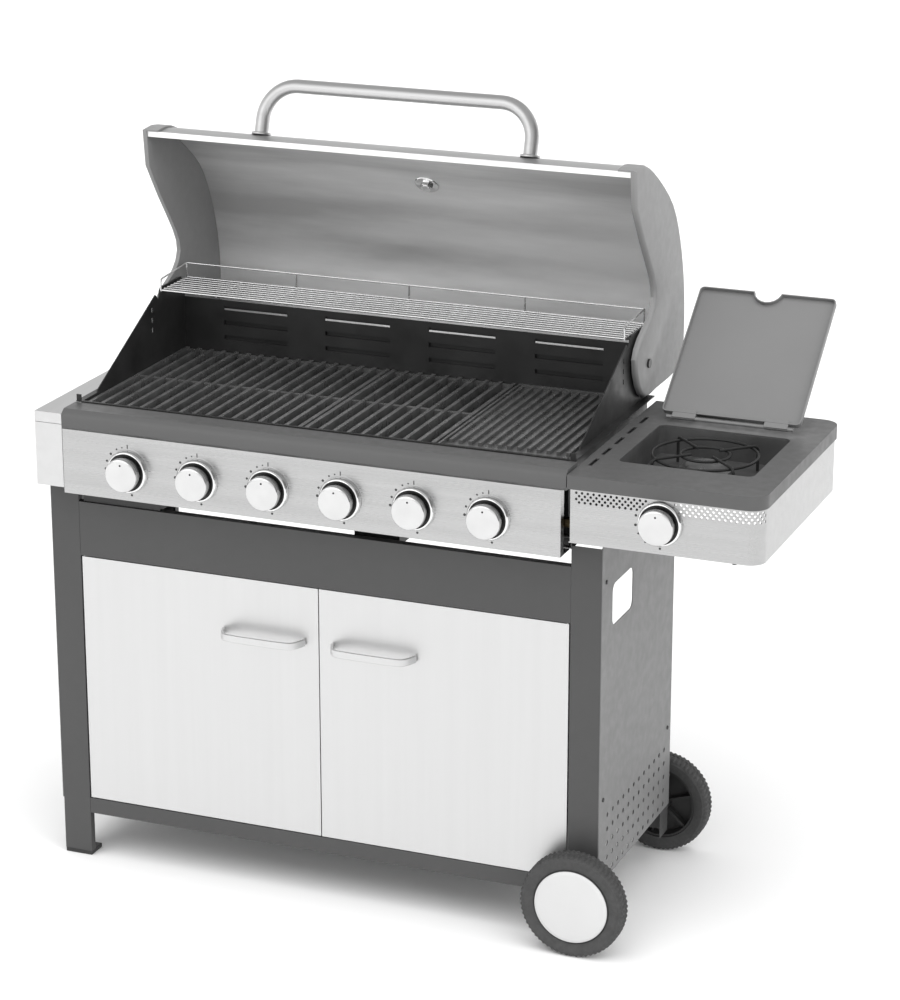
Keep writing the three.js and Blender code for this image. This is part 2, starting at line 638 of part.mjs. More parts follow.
function firebox() {
  const shell = combine(
    [box(BOX_LEFT, BOX_RIGHT, BOX_FRONT, BOX_BACK, BOX_FLOOR, RIM_Z)],
    [box(BOX_LEFT + WALL, BOX_RIGHT - WALL, BOX_FRONT + WALL, BOX_BACK - WALL, BOX_FLOOR + WALL, RIM_Z + 1)]);
  const rim = combine(
    [box(RIM_LEFT, RIM_RIGHT, BOX_FRONT - 3, BOX_BACK, RIM_Z - WALL, RIM_Z)],
    [box(BOX_LEFT + 1, BOX_RIGHT - 1, BOX_FRONT + 1, BOX_BACK - 1, RIM_Z - 5, RIM_Z + 1)]);
  const ledges = [
    box(BOX_LEFT + 1, BOX_RIGHT - 1, BOX_FRONT + 1, BOX_FRONT + 12, GRATE_LEDGE - WALL, GRATE_LEDGE),
    box(BOX_LEFT + 1, BOX_RIGHT - 1, BOX_BACK - 12, BOX_BACK - 1, GRATE_LEDGE - WALL, GRATE_LEDGE),
    box(BOX_LEFT + 1, BOX_LEFT + 14, BOX_FRONT + 1, BOX_BACK - 1, TAMER_LEDGE - WALL, TAMER_LEDGE),
    box(BOX_RIGHT - 14, BOX_RIGHT - 1, BOX_FRONT + 1, BOX_BACK - 1, TAMER_LEDGE - WALL, TAMER_LEDGE),
  ];
  const wings = [
    alongX(wingShape(), BOX_LEFT, BOX_LEFT + WALL),
    alongX(wingShape(), BOX_RIGHT - WALL, BOX_RIGHT),
  ];
  const tabTop = RACK_Z - 2 * RACK_WIRE;
  const rackTabs = [
    box(BOX_LEFT + 1, BOX_LEFT + 14, 310, 380, tabTop - WALL, tabTop),
    box(BOX_RIGHT - 14, BOX_RIGHT - 1, 310, 380, tabTop - WALL, tabTop),
  ];
  const rearWall = box(BOX_LEFT, BOX_RIGHT, BOX_BACK - WALL, BOX_BACK, RIM_Z - 1, REAR_WALL_TOP);
  const lugs = [RIM_LEFT + 1, RIM_RIGHT - 9].map((x) =>
    box(x, x + 8, BOX_FRONT - 3, BOX_FRONT, RIM_Z - 1, RIM_Z + 11));
  const pinEnd = CAP_OUTER_X - 0.5;
  const pins = [
    rodX(PIN_RADIUS, HINGE_Y, HINGE_Z, pinEnd - 1, BOX_LEFT + 1),
    rodX(PIN_RADIUS + 4, HINGE_Y, HINGE_Z, pinEnd - 3, pinEnd),
    rodX(PIN_RADIUS, HINGE_Y, HINGE_Z, BOX_RIGHT - 1, CART_WIDTH - pinEnd + 1),
    rodX(PIN_RADIUS + 4, HINGE_Y, HINGE_Z, CART_WIDTH - pinEnd, CART_WIDTH - pinEnd + 3),
  ];
  return [shell, rim, ...ledges, ...wings, ...rackTabs, rearWall, ...lugs, ...pins];
}

function fireboxOpenings() {
  const openings = [];
  const halfLouvre = LOUVRE_WIDTH / 2;
  for (let column = 0; column < 4; column += 1) {
    const middle = CART_WIDTH / 2 + LOUVRE_PITCH_X * (column - 1.5);
    for (let row = 0; row < 3; row += 1) {
      const z = LOUVRE_TOP_Z - LOUVRE_PITCH_Z * row;
      openings.push(box(
        middle - halfLouvre, middle + halfLouvre, BOX_BACK - 10, BOX_BACK + 10, z, z + LOUVRE_HEIGHT));
    }
  }
  for (const z of [890, 908, 926]) {
    openings.push(box(BOX_LEFT - 5, BOX_LEFT + 5, 268, 272, z, z + 9));
    openings.push(box(BOX_RIGHT - 5, BOX_RIGHT + 5, 268, 272, z, z + 9));
  }
  for (const x of knobColumns) {
    openings.push(rodY(NECK_RADIUS + 1, x, BURNER_Z, BOX_FRONT - 5, BOX_FRONT + 5, 12));
  }
  openings.push(box(300, 700, 120, 280, BOX_FLOOR - 5, BOX_FLOOR + 5));
  return openings;
}

function buildFirebox() {
  place('firebox', combine(firebox(), fireboxOpenings()), blackEnamel);
}

// a burner tube lying along Y, open where its narrow mixing neck passes the front wall
function burnerGeometry() {
  const front = BOX_FRONT - 6;
  const profile = [
    [NECK_RADIUS - SHEET, front], [NECK_RADIUS, front], [NECK_RADIUS, 36], [BURNER_RADIUS, 52],
    [BURNER_RADIUS, 376], [0, 376], [0, 376 - SHEET], [BURNER_RADIUS - SHEET, 376 - SHEET],
    [BURNER_RADIUS - SHEET, 53], [NECK_RADIUS - SHEET, 37], [NECK_RADIUS - SHEET, front],
  ];
  return geometryOf(solid(turned(profile, 10)));
}

function buildBurners() {
  knobColumns.forEach((x, i) => {
    place(`burner_${i + 1}`, burnerGeometry(), brushedSteel, cart, [x, 0, BURNER_Z]);
  });
}

// folded roofs over the burners, joined by two bars that rest on the side ledges
function buildFlameTamers() {
  const foot = TAMER_LEDGE + GAP;
  const roofs = knobColumns.map((x) => {
    const path = [[x - TAMER_HALF_WIDTH, foot], [x, foot + TAMER_HEIGHT], [x + TAMER_HALF_WIDTH, foot]];
    return extrude(ribbon(path, 0, 1.5), 340).rotateX(Math.PI / 2).translate(0, 372, 0);
  });
  const bars = [80, 320].map((y) => box(BOX_LEFT + 3, BOX_RIGHT - 3, y, y + 8, foot, foot + 5));
  place('flame_tamers', combine([...roofs, ...bars]), brushedSteel);
}

// ---------- cooking surfaces ----------

function grateGeometry([left, right]) {
  const count = Math.round((right - left - BAR_WIDTH) / BAR_PITCH) + 1;
  const pitch = (right - left - BAR_WIDTH) / (count - 1);
  const low = GRATE_LEDGE + GAP;
  const bars = Array.from({ length: count }, (_, i) => {
    const x = left + pitch * i;
    return box(x, x + BAR_WIDTH, GRATE_FRONT, GRATE_BACK, low, GRATE_TOP);
  });
  const middle = (GRATE_FRONT + GRATE_BACK) / 2;
  const rungs = [GRATE_FRONT, middle - 4, GRATE_BACK - 8].map((y) =>
    box(left, right, y, y + 8, low, GRATE_TOP - 3));
  return combine([...bars, ...rungs]);
}

function griddleGeometry([left, right]) {
  const low = GRATE_LEDGE + GAP;
  const floor = GRATE_TOP - 6;
  const plate = box(left, right, GRATE_FRONT, GRATE_BACK, low, floor);
  const count = 13;
  const pitch = (right - left - 24) / (count - 1);
  const ridges = Array.from({ length: count }, (_, i) => {
    const x = left + 12 + pitch * i;
    return box(x - 3, x + 3, GRATE_FRONT + 36, GRATE_BACK - 14, floor - 1, GRATE_TOP);
  });
  const edges = [
    box(left, left + 4, GRATE_FRONT, GRATE_BACK, floor - 1, GRATE_TOP),
    box(right - 4, right, GRATE_FRONT, GRATE_BACK, floor - 1, GRATE_TOP),
    box(left, right, GRATE_FRONT, GRATE_FRONT + 5, floor - 1, GRATE_TOP),
    box(left, right, GRATE_BACK - 5, GRATE_BACK, floor - 1, GRATE_TOP),
  ];
  return combine([plate, ...ridges, ...edges]);
}

function rackGeometry() {
  const left = BOX_LEFT + 6;
  const right = BOX_RIGHT - 6;
  const pitch = (RACK_BACK - RACK_FRONT - 2 * RACK_WIRE) / (RACK_RODS - 1);
  const rods = Array.from({ length: RACK_RODS }, (_, i) =>
    rodX(RACK_WIRE, RACK_FRONT + RACK_WIRE + pitch * i, RACK_Z, left, right, 4));
  const posts = [];
  const ties = [];
  for (const share of [0, 1 / 3, 2 / 3, 1]) {
    const x = left + RACK_WIRE + (right - left - 2 * RACK_WIRE) * share;
    ties.push(rodY(RACK_WIRE, x, RACK_Z - 1.3, RACK_FRONT, RACK_BACK, 4));
    posts.push(rodZ(RACK_WIRE, x, RACK_BACK - RACK_WIRE, RACK_Z, RACK_Z + RACK_BACKSTOP, 4));
  }
  const stop = rodX(RACK_WIRE, RACK_BACK - RACK_WIRE, RACK_Z + RACK_BACKSTOP, left, right, 4);
  return combine([...rods, ...ties, ...posts, stop]);
}

function buildCookingSurfaces() {
  place('grate_left', grateGeometry(GRATE_LEFT_SPAN), castIron);
  place('grate_middle', grateGeometry(GRATE_MIDDLE_SPAN), castIron);
  place('griddle_plate', griddleGeometry(GRIDDLE_SPAN), castIron);
  place('warming_rack', rackGeometry(), chrome);
}

// the shallow tray under the firebox, with the cup that catches the fat
function buildDripTray() {
  const low = RUNNER_TOP + GAP;
  const high = SUPPORT_TOP - 4;
  const tray = combine(
    [box(64, CART_WIDTH - 64, 18, CART_DEPTH - 2, low, high)],
    [box(66, CART_WIDTH - 66, 20, CART_DEPTH - 4, low + 2, high + 1)]);
  const cup = combine(
    [box(540, 622, 60, 140, 634, low + 1)],
    [box(542, 620, 62, 138, 636, low + 5)]);
  const mouth = box(542, 620, 62, 138, 640, low + 5);
  place('drip_tray', combine([tray, cup], [mouth]), blackEnamel);
}

// ---------- lid ----------

const lidPath = smooth(LID_CURVE, 3);

function capGeometry() {
  const plateEnd = CAP_OUTER_X + CAP_THICKNESS;
  const edge = smooth(CAP_EDGE, 2).slice(1);
  const plate = alongX(outline([...lidPath, ...edge]), CAP_OUTER_X, plateEnd);
  const flange = alongX(ribbon(lidPath, 0, CAP_FLANGE), plateEnd - 1, CAP_FLANGE_X);
  const bore = rodX(PIN_RADIUS + 0.5, 0, 0, CAP_OUTER_X - 5, plateEnd + 5);
  return combine([plate, flange], [bore]);
}

function shellGeometry() {
  const left = CAP_OUTER_X + CAP_THICKNESS + GAP;
  const front = LID_CURVE[0];
  const path = [[front[0] + LIP, front[1]], ...lidPath];
  const near = CAP_FLANGE + GAP;
  return alongX(ribbon(path, near, near + SHEET), left, CART_WIDTH - left);
}

// a spot on the lid's steel, counted in points of the lid curve, and the way that it faces
function spotOnLid(spot) {
  const curve = new THREE.SplineCurve(LID_CURVE.map(([a, b]) => new THREE.Vector2(a, b)));
  const share = spot / (LID_CURVE.length - 1);
  const point = curve.getPoint(share);
  const way = curve.getTangent(share);
  const depth = CAP_FLANGE + GAP;
  return {
    y: point.x + way.y * depth,
    z: point.y - way.x * depth,
    tilt: Math.atan2(way.x, way.y),
  };
}

// a round bar bent to a U, standing out along -Y from its two feet
function handleGeometry() {
  const half = HANDLE_HALF;
  const reach = -HANDLE_REACH;
  const bend = HANDLE_BEND;
  const corner = (way) => new THREE.QuadraticBezierCurve3(
    way < 0 ? new THREE.Vector3(-half, reach + bend, 0) : new THREE.Vector3(half - bend, reach, 0),
    new THREE.Vector3(way * half, reach, 0),
    way < 0 ? new THREE.Vector3(-half + bend, reach, 0) : new THREE.Vector3(half, reach + bend, 0));
  const path = new THREE.CurvePath();
  path.add(new THREE.LineCurve3(new THREE.Vector3(-half, -1, 0), new THREE.Vector3(-half, reach + bend, 0)));
  path.add(corner(-1));
  path.add(new THREE.LineCurve3(
    new THREE.Vector3(-half + bend, reach, 0), new THREE.Vector3(half - bend, reach, 0)));
  path.add(corner(1));
  path.add(new THREE.LineCurve3(new THREE.Vector3(half, reach + bend, 0), new THREE.Vector3(half, -1, 0)));
  const round = new THREE.Shape().absarc(0, 0, HANDLE_RADIUS, 0, Math.PI * 2);
  const tube = new THREE.ExtrudeGeometry(round, { steps: 32, curveSegments: 4, extrudePath: path });
  const feet = [-half, half].map((x) => rodY(HANDLE_RADIUS + 5, x, 0, -5, -0.8, 12));
  return combine([tube, ...feet]);
}

// the dial outside and the nut inside, on one stem through the steel
function gaugeGeometry() {
  const profile = [
    [0, 12], [9, 12], [9, SHEET + 1.2], [4, SHEET + 1.2], [4, -1.2], [GAUGE_RADIUS, -2.5],
    [GAUGE_RADIUS, -15], [GAUGE_RADIUS - 2, -17], [0, -17],
  ];
  return geometryOf(solid(turned(profile, 24)));
}

function buildLid() {
  const lid = new THREE.Group();
  lid.position.set(0, HINGE_Y, HINGE_Z);
  lid.rotation.x = -LID_OPEN;
  cart.add(lid);
  const cap = capGeometry();
  const gauge = spotOnLid(GAUGE_SPOT);
  const stemHoleInLid = rodY(4.5, 0, 0, -20, 20, 12).rotateX(-gauge.tilt);
  stemHoleInLid.translate(CART_WIDTH / 2, gauge.y, gauge.z);
  place('lid_shell', combine([shellGeometry()], [stemHoleInLid]), brushedSteel, lid);
  place('lid_cap_left', cap, palePaint, lid);
  place('lid_cap_right', mirrored(cap), palePaint, lid);
  const hold = spotOnLid(HANDLE_SPOT);
  const handle = place('lid_handle', handleGeometry(), brushedSteel, lid, [CART_WIDTH / 2, hold.y, hold.z]);
  handle.rotation.x = -hold.tilt;
  const dial = place('thermometer', gaugeGeometry(), chrome, lid, [CART_WIDTH / 2, gauge.y, gauge.z]);
  dial.rotation.x = -gauge.tilt;
}

// ---------- side shelf ----------

// the plan of the shelf, square on the left and round on the right
function shelfPlan(inset) {
  const [left, right] = [SHELF_LEFT + inset, SHELF_RIGHT - inset];
  const [front, back] = [SHELF_FRONT + inset, SHELF_BACK - inset];
  const radius = SHELF_CORNER - inset;
  const shape = new THREE.Shape();
  shape.moveTo(left, front);
  shape.lineTo(right - radius, front);
  shape.absarc(right - radius, front + radius, radius, -Math.PI / 2, 0);
  shape.lineTo(right, back - radius);
  shape.absarc(right - radius, back - radius, radius, 0, Math.PI / 2);
  shape.lineTo(left, back);
  shape.closePath();
  return shape;
}

function buildShelfTop() {
  const plate = alongZ(shelfPlan(0), SHELF_TOP - SHELF_RIM, SHELF_TOP, 8);
  const underside = alongZ(shelfPlan(2.5), SHELF_TOP - SHELF_RIM - 1, SHELF_TOP - 2.5, 8);
  const o = OPENING;
  const opening = alongZ(roundedRectangle(o.x0, o.x1, o.y0, o.y1, o.radius), SHELF_TOP - 5, SHELF_TOP + 5);
  const slots = Array.from({ length: VENT_SLOTS }, (_, i) => {
    const y = 12 + 62 * i;
    return box(SHELF_LEFT + 13, SHELF_LEFT + 20, y, y + 40, SHELF_TOP - 5, SHELF_TOP + 5);
  });
  place('side_shelf_top', combine([plate], [underside, opening, ...slots]), trimPaint);
}

// the steel sheet round the front, right and back of the shelf
function buildShelfSkirt() {
  const rim = SHELF_TOP - SHELF_RIM - GAP;
  const outer = alongZ(shelfPlan(SKIRT_INSET), SKIRT_LOW, rim, 8);
  const inner = alongZ(shelfPlan(SKIRT_INSET + SHEET), SKIRT_LOW + SHEET, rim + 1, 8);
  const floorHole = alongZ(shelfPlan(SKIRT_INSET + 22), SKIRT_LOW - 1, SKIRT_LOW + 5);
  const leftSide = box(
    SHELF_LEFT, SHELF_LEFT + SKIRT_INSET + SHEET + 0.5, -200, 600, SKIRT_LOW + SHEET + 0.5, rim + 1);
  const bezel = collar(SIDE_KNOB_X, SIDE_KNOB_Z).translate(0, SHELF_FRONT + SKIRT_INSET - PANEL_FACE_Y, 0);
  const skirt = combine([outer, bezel], [inner, floorHole, leftSide, stemHole(SIDE_KNOB_X, SIDE_KNOB_Z)]);
  place('side_shelf_skirt', skirt, brushedSteel);
}

function buildSideBurner() {
  const o = OPENING;
  const lip = SHELF_TOP - 2.5 - GAP;
  const outer = alongZ(roundedRectangle(o.x0 - 2, o.x1 + 2, o.y0 - 2, o.y1 + 2, o.radius), BOWL_FLOOR, lip);
  const inner = alongZ(roundedRectangle(o.x0, o.x1, o.y0, o.y1, o.radius - 2), BOWL_FLOOR + 2, lip + 1);
  const flange = alongZ(roundedRectangle(o.x0 - 9, o.x1 + 9, o.y0 - 9, o.y1 + 9, o.radius), lip - 2, lip);
  const middle = (o.x0 + o.x1) / 2;
  const neckHole = rodZ(13, middle, SIDE_BURNER_Y, BOWL_FLOOR - 5, BOWL_FLOOR + 5);
  place('side_burner_bowl', combine([outer, flange], [inner, neckHole]), blackEnamel);
  const profile = [
    [0, -30], [12, -30], [12, 6], [SIDE_BURNER_RADIUS, 10], [SIDE_BURNER_RADIUS, 20],
    [SIDE_BURNER_RADIUS - 8, 24], [SIDE_BURNER_RADIUS - 12, 28], [0, 28],
  ];
  const head = geometryOf(solid(turned(profile, 24).rotateX(Math.PI / 2)));
  place('side_burner', head, castIron, cart, [middle, SIDE_BURNER_Y, BOWL_FLOOR + 0.5]);
}

function ring(radius, wire, sides) {
  return new THREE.TorusGeometry(radius, wire, 5, sides);
}

// a wire trivet: two rings, crossed by bent wires whose feet stand on the bowl's floor
function buildPotSupport() {
  const middle = (OPENING.x0 + OPENING.x1) / 2;
  const wire = 2.4;
  const top = SHELF_TOP - 4;
  const floor = BOWL_FLOOR + 2 + GAP;
  const reach = 98;
  const pieces = [ring(86, wire, 20).translate(0, 0, top), ring(40, wire, 12).translate(0, 0, top)];
  for (let i = 0; i < 4; i += 1) {
    const angle = (i + 0.5) * Math.PI / 2;
    const spoke = rodX(wire, 0, top + 1, 26, reach, 6);
    const leg = rodZ(wire, reach - wire, 0, floor, top + 1, 6);
    pieces.push(spoke.rotateZ(angle), leg.rotateZ(angle));
  }
  place('pot_support', combine(pieces), blackEnamel, cart, [middle, SIDE_BURNER_Y, 0]);
}

// drawn closed, as X and Y from the hinge pin, then swung open
function buildSideLid() {
  const half = (SIDE_LID_RIGHT - SIDE_LID_LEFT) / 2;
  const low = -SIDE_LID_THICKNESS / 2;
  const plan = roundedRectangle(-half, half, -SIDE_LID_LENGTH, -8, 8);
  const plate = alongZ(plan, low, -low);
  const hollow = alongZ(roundedRectangle(-half + 2, half - 2, -SIDE_LID_LENGTH + 2, -10, 6), low - 1, -low - 2);
  const notch = rodZ(NOTCH_RADIUS, 0, -SIDE_LID_LENGTH - 4, -20, 20, 20);
  const notchWall = rodZ(NOTCH_RADIUS + 2, 0, -SIDE_LID_LENGTH - 4, low, -low, 20);
  const bound = box(-half + 8, half - 8, -SIDE_LID_LENGTH, -20, low - 1, -low + 1);
  const wall = geometryOf(solid(notchWall).intersect(solid(bound)));
  const knuckles = [-half + 20, half - 60].map((x) => box(x, x + 40, -14, 2, -4, 4));
  const pin = rodX(3, 0, 0, -half + 10, half - 10, 12);
  const body = combine([combine([plate], [hollow]), wall, ...knuckles, pin], [notch]);
  const lid = place('side_burner_lid', body, palePaint, cart,
    [(SIDE_LID_LEFT + SIDE_LID_RIGHT) / 2, SIDE_LID_HINGE_Y, SIDE_LID_HINGE_Z]);
  lid.rotation.x = -SIDE_LID_OPEN;
}

// ---------- the whole grill ----------

buildLegs();
buildSidePanels();
buildCrossMembers();
buildBottomShelf();
buildDoors();
buildWheels();
buildControlPanel();
buildKnobs();
buildManifold();
buildIgniter();
buildTrim();
buildFillerStrip();
buildFirebox();
buildBurners();
buildFlameTamers();
buildCookingSurfaces();
buildDripTray();
buildLid();
buildShelfTop();
buildShelfSkirt();
buildSideBurner();
buildPotSupport();
buildSideLid();

// the origin goes to the middle of the bounding box, on the floor
const bounds = new THREE.Box3().setFromObject(cart, true);
const centre = bounds.getCenter(new THREE.Vector3());
cart.position.set(-centre.x, -centre.y, -bounds.min.z);

export default grill;
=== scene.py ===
import json
import math

import bmesh
import bpy
from mathutils import Matrix, Vector


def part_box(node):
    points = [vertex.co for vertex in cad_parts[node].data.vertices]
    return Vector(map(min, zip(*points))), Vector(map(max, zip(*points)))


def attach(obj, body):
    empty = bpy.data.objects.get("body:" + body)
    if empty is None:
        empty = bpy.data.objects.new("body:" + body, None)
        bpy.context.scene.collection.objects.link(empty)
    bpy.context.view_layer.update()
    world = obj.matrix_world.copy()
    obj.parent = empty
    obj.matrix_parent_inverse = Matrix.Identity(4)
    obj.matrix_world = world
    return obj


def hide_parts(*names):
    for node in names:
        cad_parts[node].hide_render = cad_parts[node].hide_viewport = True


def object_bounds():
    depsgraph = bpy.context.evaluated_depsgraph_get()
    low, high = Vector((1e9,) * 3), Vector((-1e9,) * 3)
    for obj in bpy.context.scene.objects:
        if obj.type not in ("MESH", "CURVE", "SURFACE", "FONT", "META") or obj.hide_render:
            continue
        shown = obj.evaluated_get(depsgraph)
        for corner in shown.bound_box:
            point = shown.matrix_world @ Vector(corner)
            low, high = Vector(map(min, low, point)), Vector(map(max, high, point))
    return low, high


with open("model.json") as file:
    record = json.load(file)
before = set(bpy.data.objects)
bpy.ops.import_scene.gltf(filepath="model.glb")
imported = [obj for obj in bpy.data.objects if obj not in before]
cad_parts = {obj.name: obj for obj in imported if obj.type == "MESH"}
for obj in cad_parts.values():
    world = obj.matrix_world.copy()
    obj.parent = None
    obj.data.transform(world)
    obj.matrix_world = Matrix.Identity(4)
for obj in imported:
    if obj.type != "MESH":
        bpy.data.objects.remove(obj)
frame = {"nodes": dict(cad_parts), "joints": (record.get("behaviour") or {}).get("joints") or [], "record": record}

cad_low, cad_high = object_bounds()
nodes = frame["nodes"]
body_of_node = {
    node: body
    for body, members in frame["record"]["behaviour"]["bodies"].items()
    for node in members
}
LID_HINGE = Vector(next(joint for joint in frame["joints"] if joint["name"] == "lid_hinge")["pos_m"])

MM = 0.001
RIGHT = Vector((1, 0, 0))
FRONT = Vector((0, -1, 0))
BACK = Vector((0, 1, 0))
UP = Vector((0, 0, 1))
KNOBS = ["knob_1", "knob_2", "knob_3", "knob_4", "knob_5", "knob_6", "side_knob"]


# ---------- materials ----------

NOISE_LOW = 0.3                    # noise seldom leaves the range from NOISE_LOW to NOISE_HIGH
NOISE_HIGH = 0.7
ALONG_X = (1, 0, 0)
ALONG_Y = (0, 1, 0)
ALONG_Z = (0, 0, 1)


class Material:
    """A Principled material whose colour, roughness and bump come from noise in the piece's space."""

    def __init__(self, name, roughness, metallic=0.0):
        self.material = bpy.data.materials.new(name)
        self.material.use_nodes = True
        self.tree = self.material.node_tree
        self.shader = self.tree.nodes["Principled BSDF"]
        self.shader.inputs["Metallic"].default_value = metallic
        self.shader.inputs["Roughness"].default_value = roughness
        self.coordinates = self.tree.nodes.new("ShaderNodeTexCoord").outputs

    def link(self, output, node_input):
        self.tree.links.new(output, node_input)

    def noise(self, scale, detail, stretch=(1, 1, 1)):
        mapping = self.tree.nodes.new("ShaderNodeMapping")
        mapping.inputs["Scale"].default_value = stretch
        self.link(self.coordinates["Object"], mapping.inputs["Vector"])
        texture = self.tree.nodes.new("ShaderNodeTexNoise")
        texture.inputs["Scale"].default_value = scale
        texture.inputs["Detail"].default_value = detail
        self.link(mapping.outputs["Vector"], texture.inputs["Vector"])
        return texture.outputs["Fac"]

    def ramp(self, value, stops):
        node = self.tree.nodes.new("ShaderNodeValToRGB")
        elements = node.color_ramp.elements
        while len(elements) < len(stops):
            elements.new(0.5)
        for element, (position, color) in zip(elements, stops):
            element.position = position
            element.color = (*color, 1)
        self.link(value, node.inputs["Fac"])
        return node.outputs["Color"]

    def spread(self, value, low, high, start=NOISE_LOW, end=NOISE_HIGH):
        """Maps the range from start to end onto the range from low to high."""
        node = self.tree.nodes.new("ShaderNodeMapRange")
        node.inputs["From Min"].default_value = start
        node.inputs["From Max"].default_value = end
        node.inputs["To Min"].default_value = low
        node.inputs["To Max"].default_value = high
        self.link(value, node.inputs["Value"])
        return node.outputs["Result"]

    def faces_away_from(self, point):
        """1 where the surface faces away from the point, and 0 where it faces the point."""
        away = self.tree.nodes.new("ShaderNodeVectorMath")
        away.operation = "SUBTRACT"
        away.inputs[1].default_value = point
        self.link(self.coordinates["Object"], away.inputs[0])
        facing = self.tree.nodes.new("ShaderNodeVectorMath")
        facing.operation = "DOT_PRODUCT"
        self.link(away.outputs["Vector"], facing.inputs[0])
        self.link(self.coordinates["Normal"], facing.inputs[1])
        positive = self.tree.nodes.new("ShaderNodeMath")
        positive.operation = "GREATER_THAN"
        positive.inputs[1].default_value = 0
        self.link(facing.outputs["Value"], positive.inputs[0])
        return positive.outputs["Value"]

    def choice(self, factor, first, second):
        node = self.tree.nodes.new("ShaderNodeMix")
        node.data_type = "RGBA"
        self.link(factor, node.inputs["Factor"])
        self.link(first, node.inputs["A"])
        self.link(second, node.inputs["B"])
        return node.outputs["Result"]

    def colour(self, value, dark, light):
        stops = [(NOISE_LOW, dark), (NOISE_HIGH, light)]
        self.link(self.ramp(value, stops), self.shader.inputs["Base Color"])

    def rough(self, value, low, high):
        self.link(self.spread(value, low, high), self.shader.inputs["Roughness"])

    def bump(self, value, height, strength):
        node = self.tree.nodes.new("ShaderNodeBump")
        node.inputs["Strength"].default_value = strength
        node.inputs["Distance"].default_value = height
        self.link(value, node.inputs["Height"])
        self.link(node.outputs["Normal"], self.shader.inputs["Normal"])


def grey(level):
    return (level, level, level)


def shades(level, change):
    return grey(level * (1 - change)), grey(level * (1 + change))


def powder_coat(name, level, roughness=0.46):
    made = Material(name, roughness)
    made.colour(made.noise(scale=7, detail=3), *shades(level, change=0.02))
    made.rough(made.noise(scale=60, detail=2), roughness - 0.05, roughness + 0.06)
    made.bump(made.noise(scale=1400, detail=1), height=0.06 * MM, strength=0.35)
    return made.material


def brushed_steel(name, level, roughness, along=ALONG_X, change=0.05):
    """Steel with its grain along one axis, and a roughness that varies between two values."""
    made = Material(name, roughness[0], metallic=1.0)
    clouds = made.noise(scale=1, detail=4, stretch=[1.5 if part else 60 for part in along])
    grain = made.noise(scale=1, detail=3, stretch=[6 if part else 900 for part in along])
    made.colour(clouds, *shades(level, change))
    made.rough(grain, *roughness)
    made.bump(grain, height=0.02 * MM, strength=0.25)
    return made.material


def lid_steel(name, inside, outside, hollow):
    """Stainless sheet whose side that faces the point hollow is painted lighter and less metallic, with horizontal
    bands of painted reflection.
    """
    made = Material(name, 0.4)
    is_outside = made.faces_away_from(hollow)
    # Painted reflection: light and dark bands that run along X on the lid's inside.
    painted_reflection_bands = made.noise(scale=1, detail=5, stretch=(1.6, 9, 9))
    painted_reflection_stops = [(0.34, grey(inside * 0.72)), (0.5, grey(inside)), (0.64, grey(inside * 1.2))]
    brushing = made.noise(scale=1, detail=4, stretch=(1.5, 60, 60))
    clean = [(NOISE_LOW, grey(outside * 0.96)), (NOISE_HIGH, grey(outside * 1.04))]
    colours = made.choice(is_outside, made.ramp(painted_reflection_bands, painted_reflection_stops), made.ramp(brushing, clean))
    made.link(colours, made.shader.inputs["Base Color"])
    metal = made.spread(is_outside, 0.6, 1, start=0, end=1)
    made.link(metal, made.shader.inputs["Metallic"])
    made.rough(made.noise(scale=1, detail=3, stretch=(8, 700, 700)), 0.36, 0.48)
    made.bump(made.noise(scale=5, detail=2), height=0.5 * MM, strength=0.12)
    return made.material


def polished_chrome(name, level, roughness):
    made = Material(name, roughness, metallic=1.0)
    made.colour(made.noise(scale=40, detail=2), *shades(level, change=0.03))
    made.rough(made.noise(scale=90, detail=3), roughness * 0.7, roughness * 1.5)
    return made.material


def enamelled_iron(name, level):
    made = Material(name, 0.38)
    made.shader.inputs["Specular IOR Level"].default_value = 0.75
    made.colour(made.noise(scale=35, detail=4), *shades(level, change=0.25))
    made.rough(made.noise(scale=40, detail=2), 0.24, 0.36)
    made.bump(made.noise(scale=300, detail=2), height=0.08 * MM, strength=0.2)
    return made.material


def black_enamel(name, level):
    made = Material(name, 0.4)
    made.shader.inputs["Specular IOR Level"].default_value = 0.35
    made.colour(made.noise(scale=14, detail=4), *shades(level, change=0.3))
    made.rough(made.noise(scale=22, detail=4), 0.3, 0.5)
    made.bump(made.noise(scale=220, detail=2), height=0.12 * MM, strength=0.4)
    return made.material


def tyre_rubber(name, level):
    made = Material(name, 0.75)
    made.colour(made.noise(scale=60, detail=3), *shades(level, change=0.14))
    made.rough(made.noise(scale=150, detail=2), 0.62, 0.85)
    made.bump(made.noise(scale=700, detail=2), height=0.12 * MM, strength=0.5)
    return made.material


def moulded_plastic(name, level, roughness):
    made = Material(name, roughness)
    made.colour(made.noise(scale=10, detail=2), *shades(level, change=0.03))
    made.rough(made.noise(scale=70, detail=2), roughness - 0.05, roughness + 0.05)
    made.bump(made.noise(scale=900, detail=1), height=0.04 * MM, strength=0.3)
    return made.material


# Brass darkened far below real brass, as painted shade where the manifold shows in the gap beside the control
# panel.
def brass_in_painted_shade(name, dark, light):
    made = Material(name, 0.35, metallic=1.0)
    made.colour(made.noise(scale=30, detail=3), dark, light)
    made.rough(made.noise(scale=120, detail=2), 0.4, 0.6)
    return made.material


def studio_floor(name, level):
    made = Material(name, 0.85)
    made.colour(made.noise(scale=2, detail=2), *shades(level, change=0.01))
    return made.material


def lid_hollow():
    """A point on the open side of the raised lid, half way up."""
    low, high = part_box("lid_shell")
    return ((low.x + high.x) / 2, low.y, (low.z + high.z) / 2)


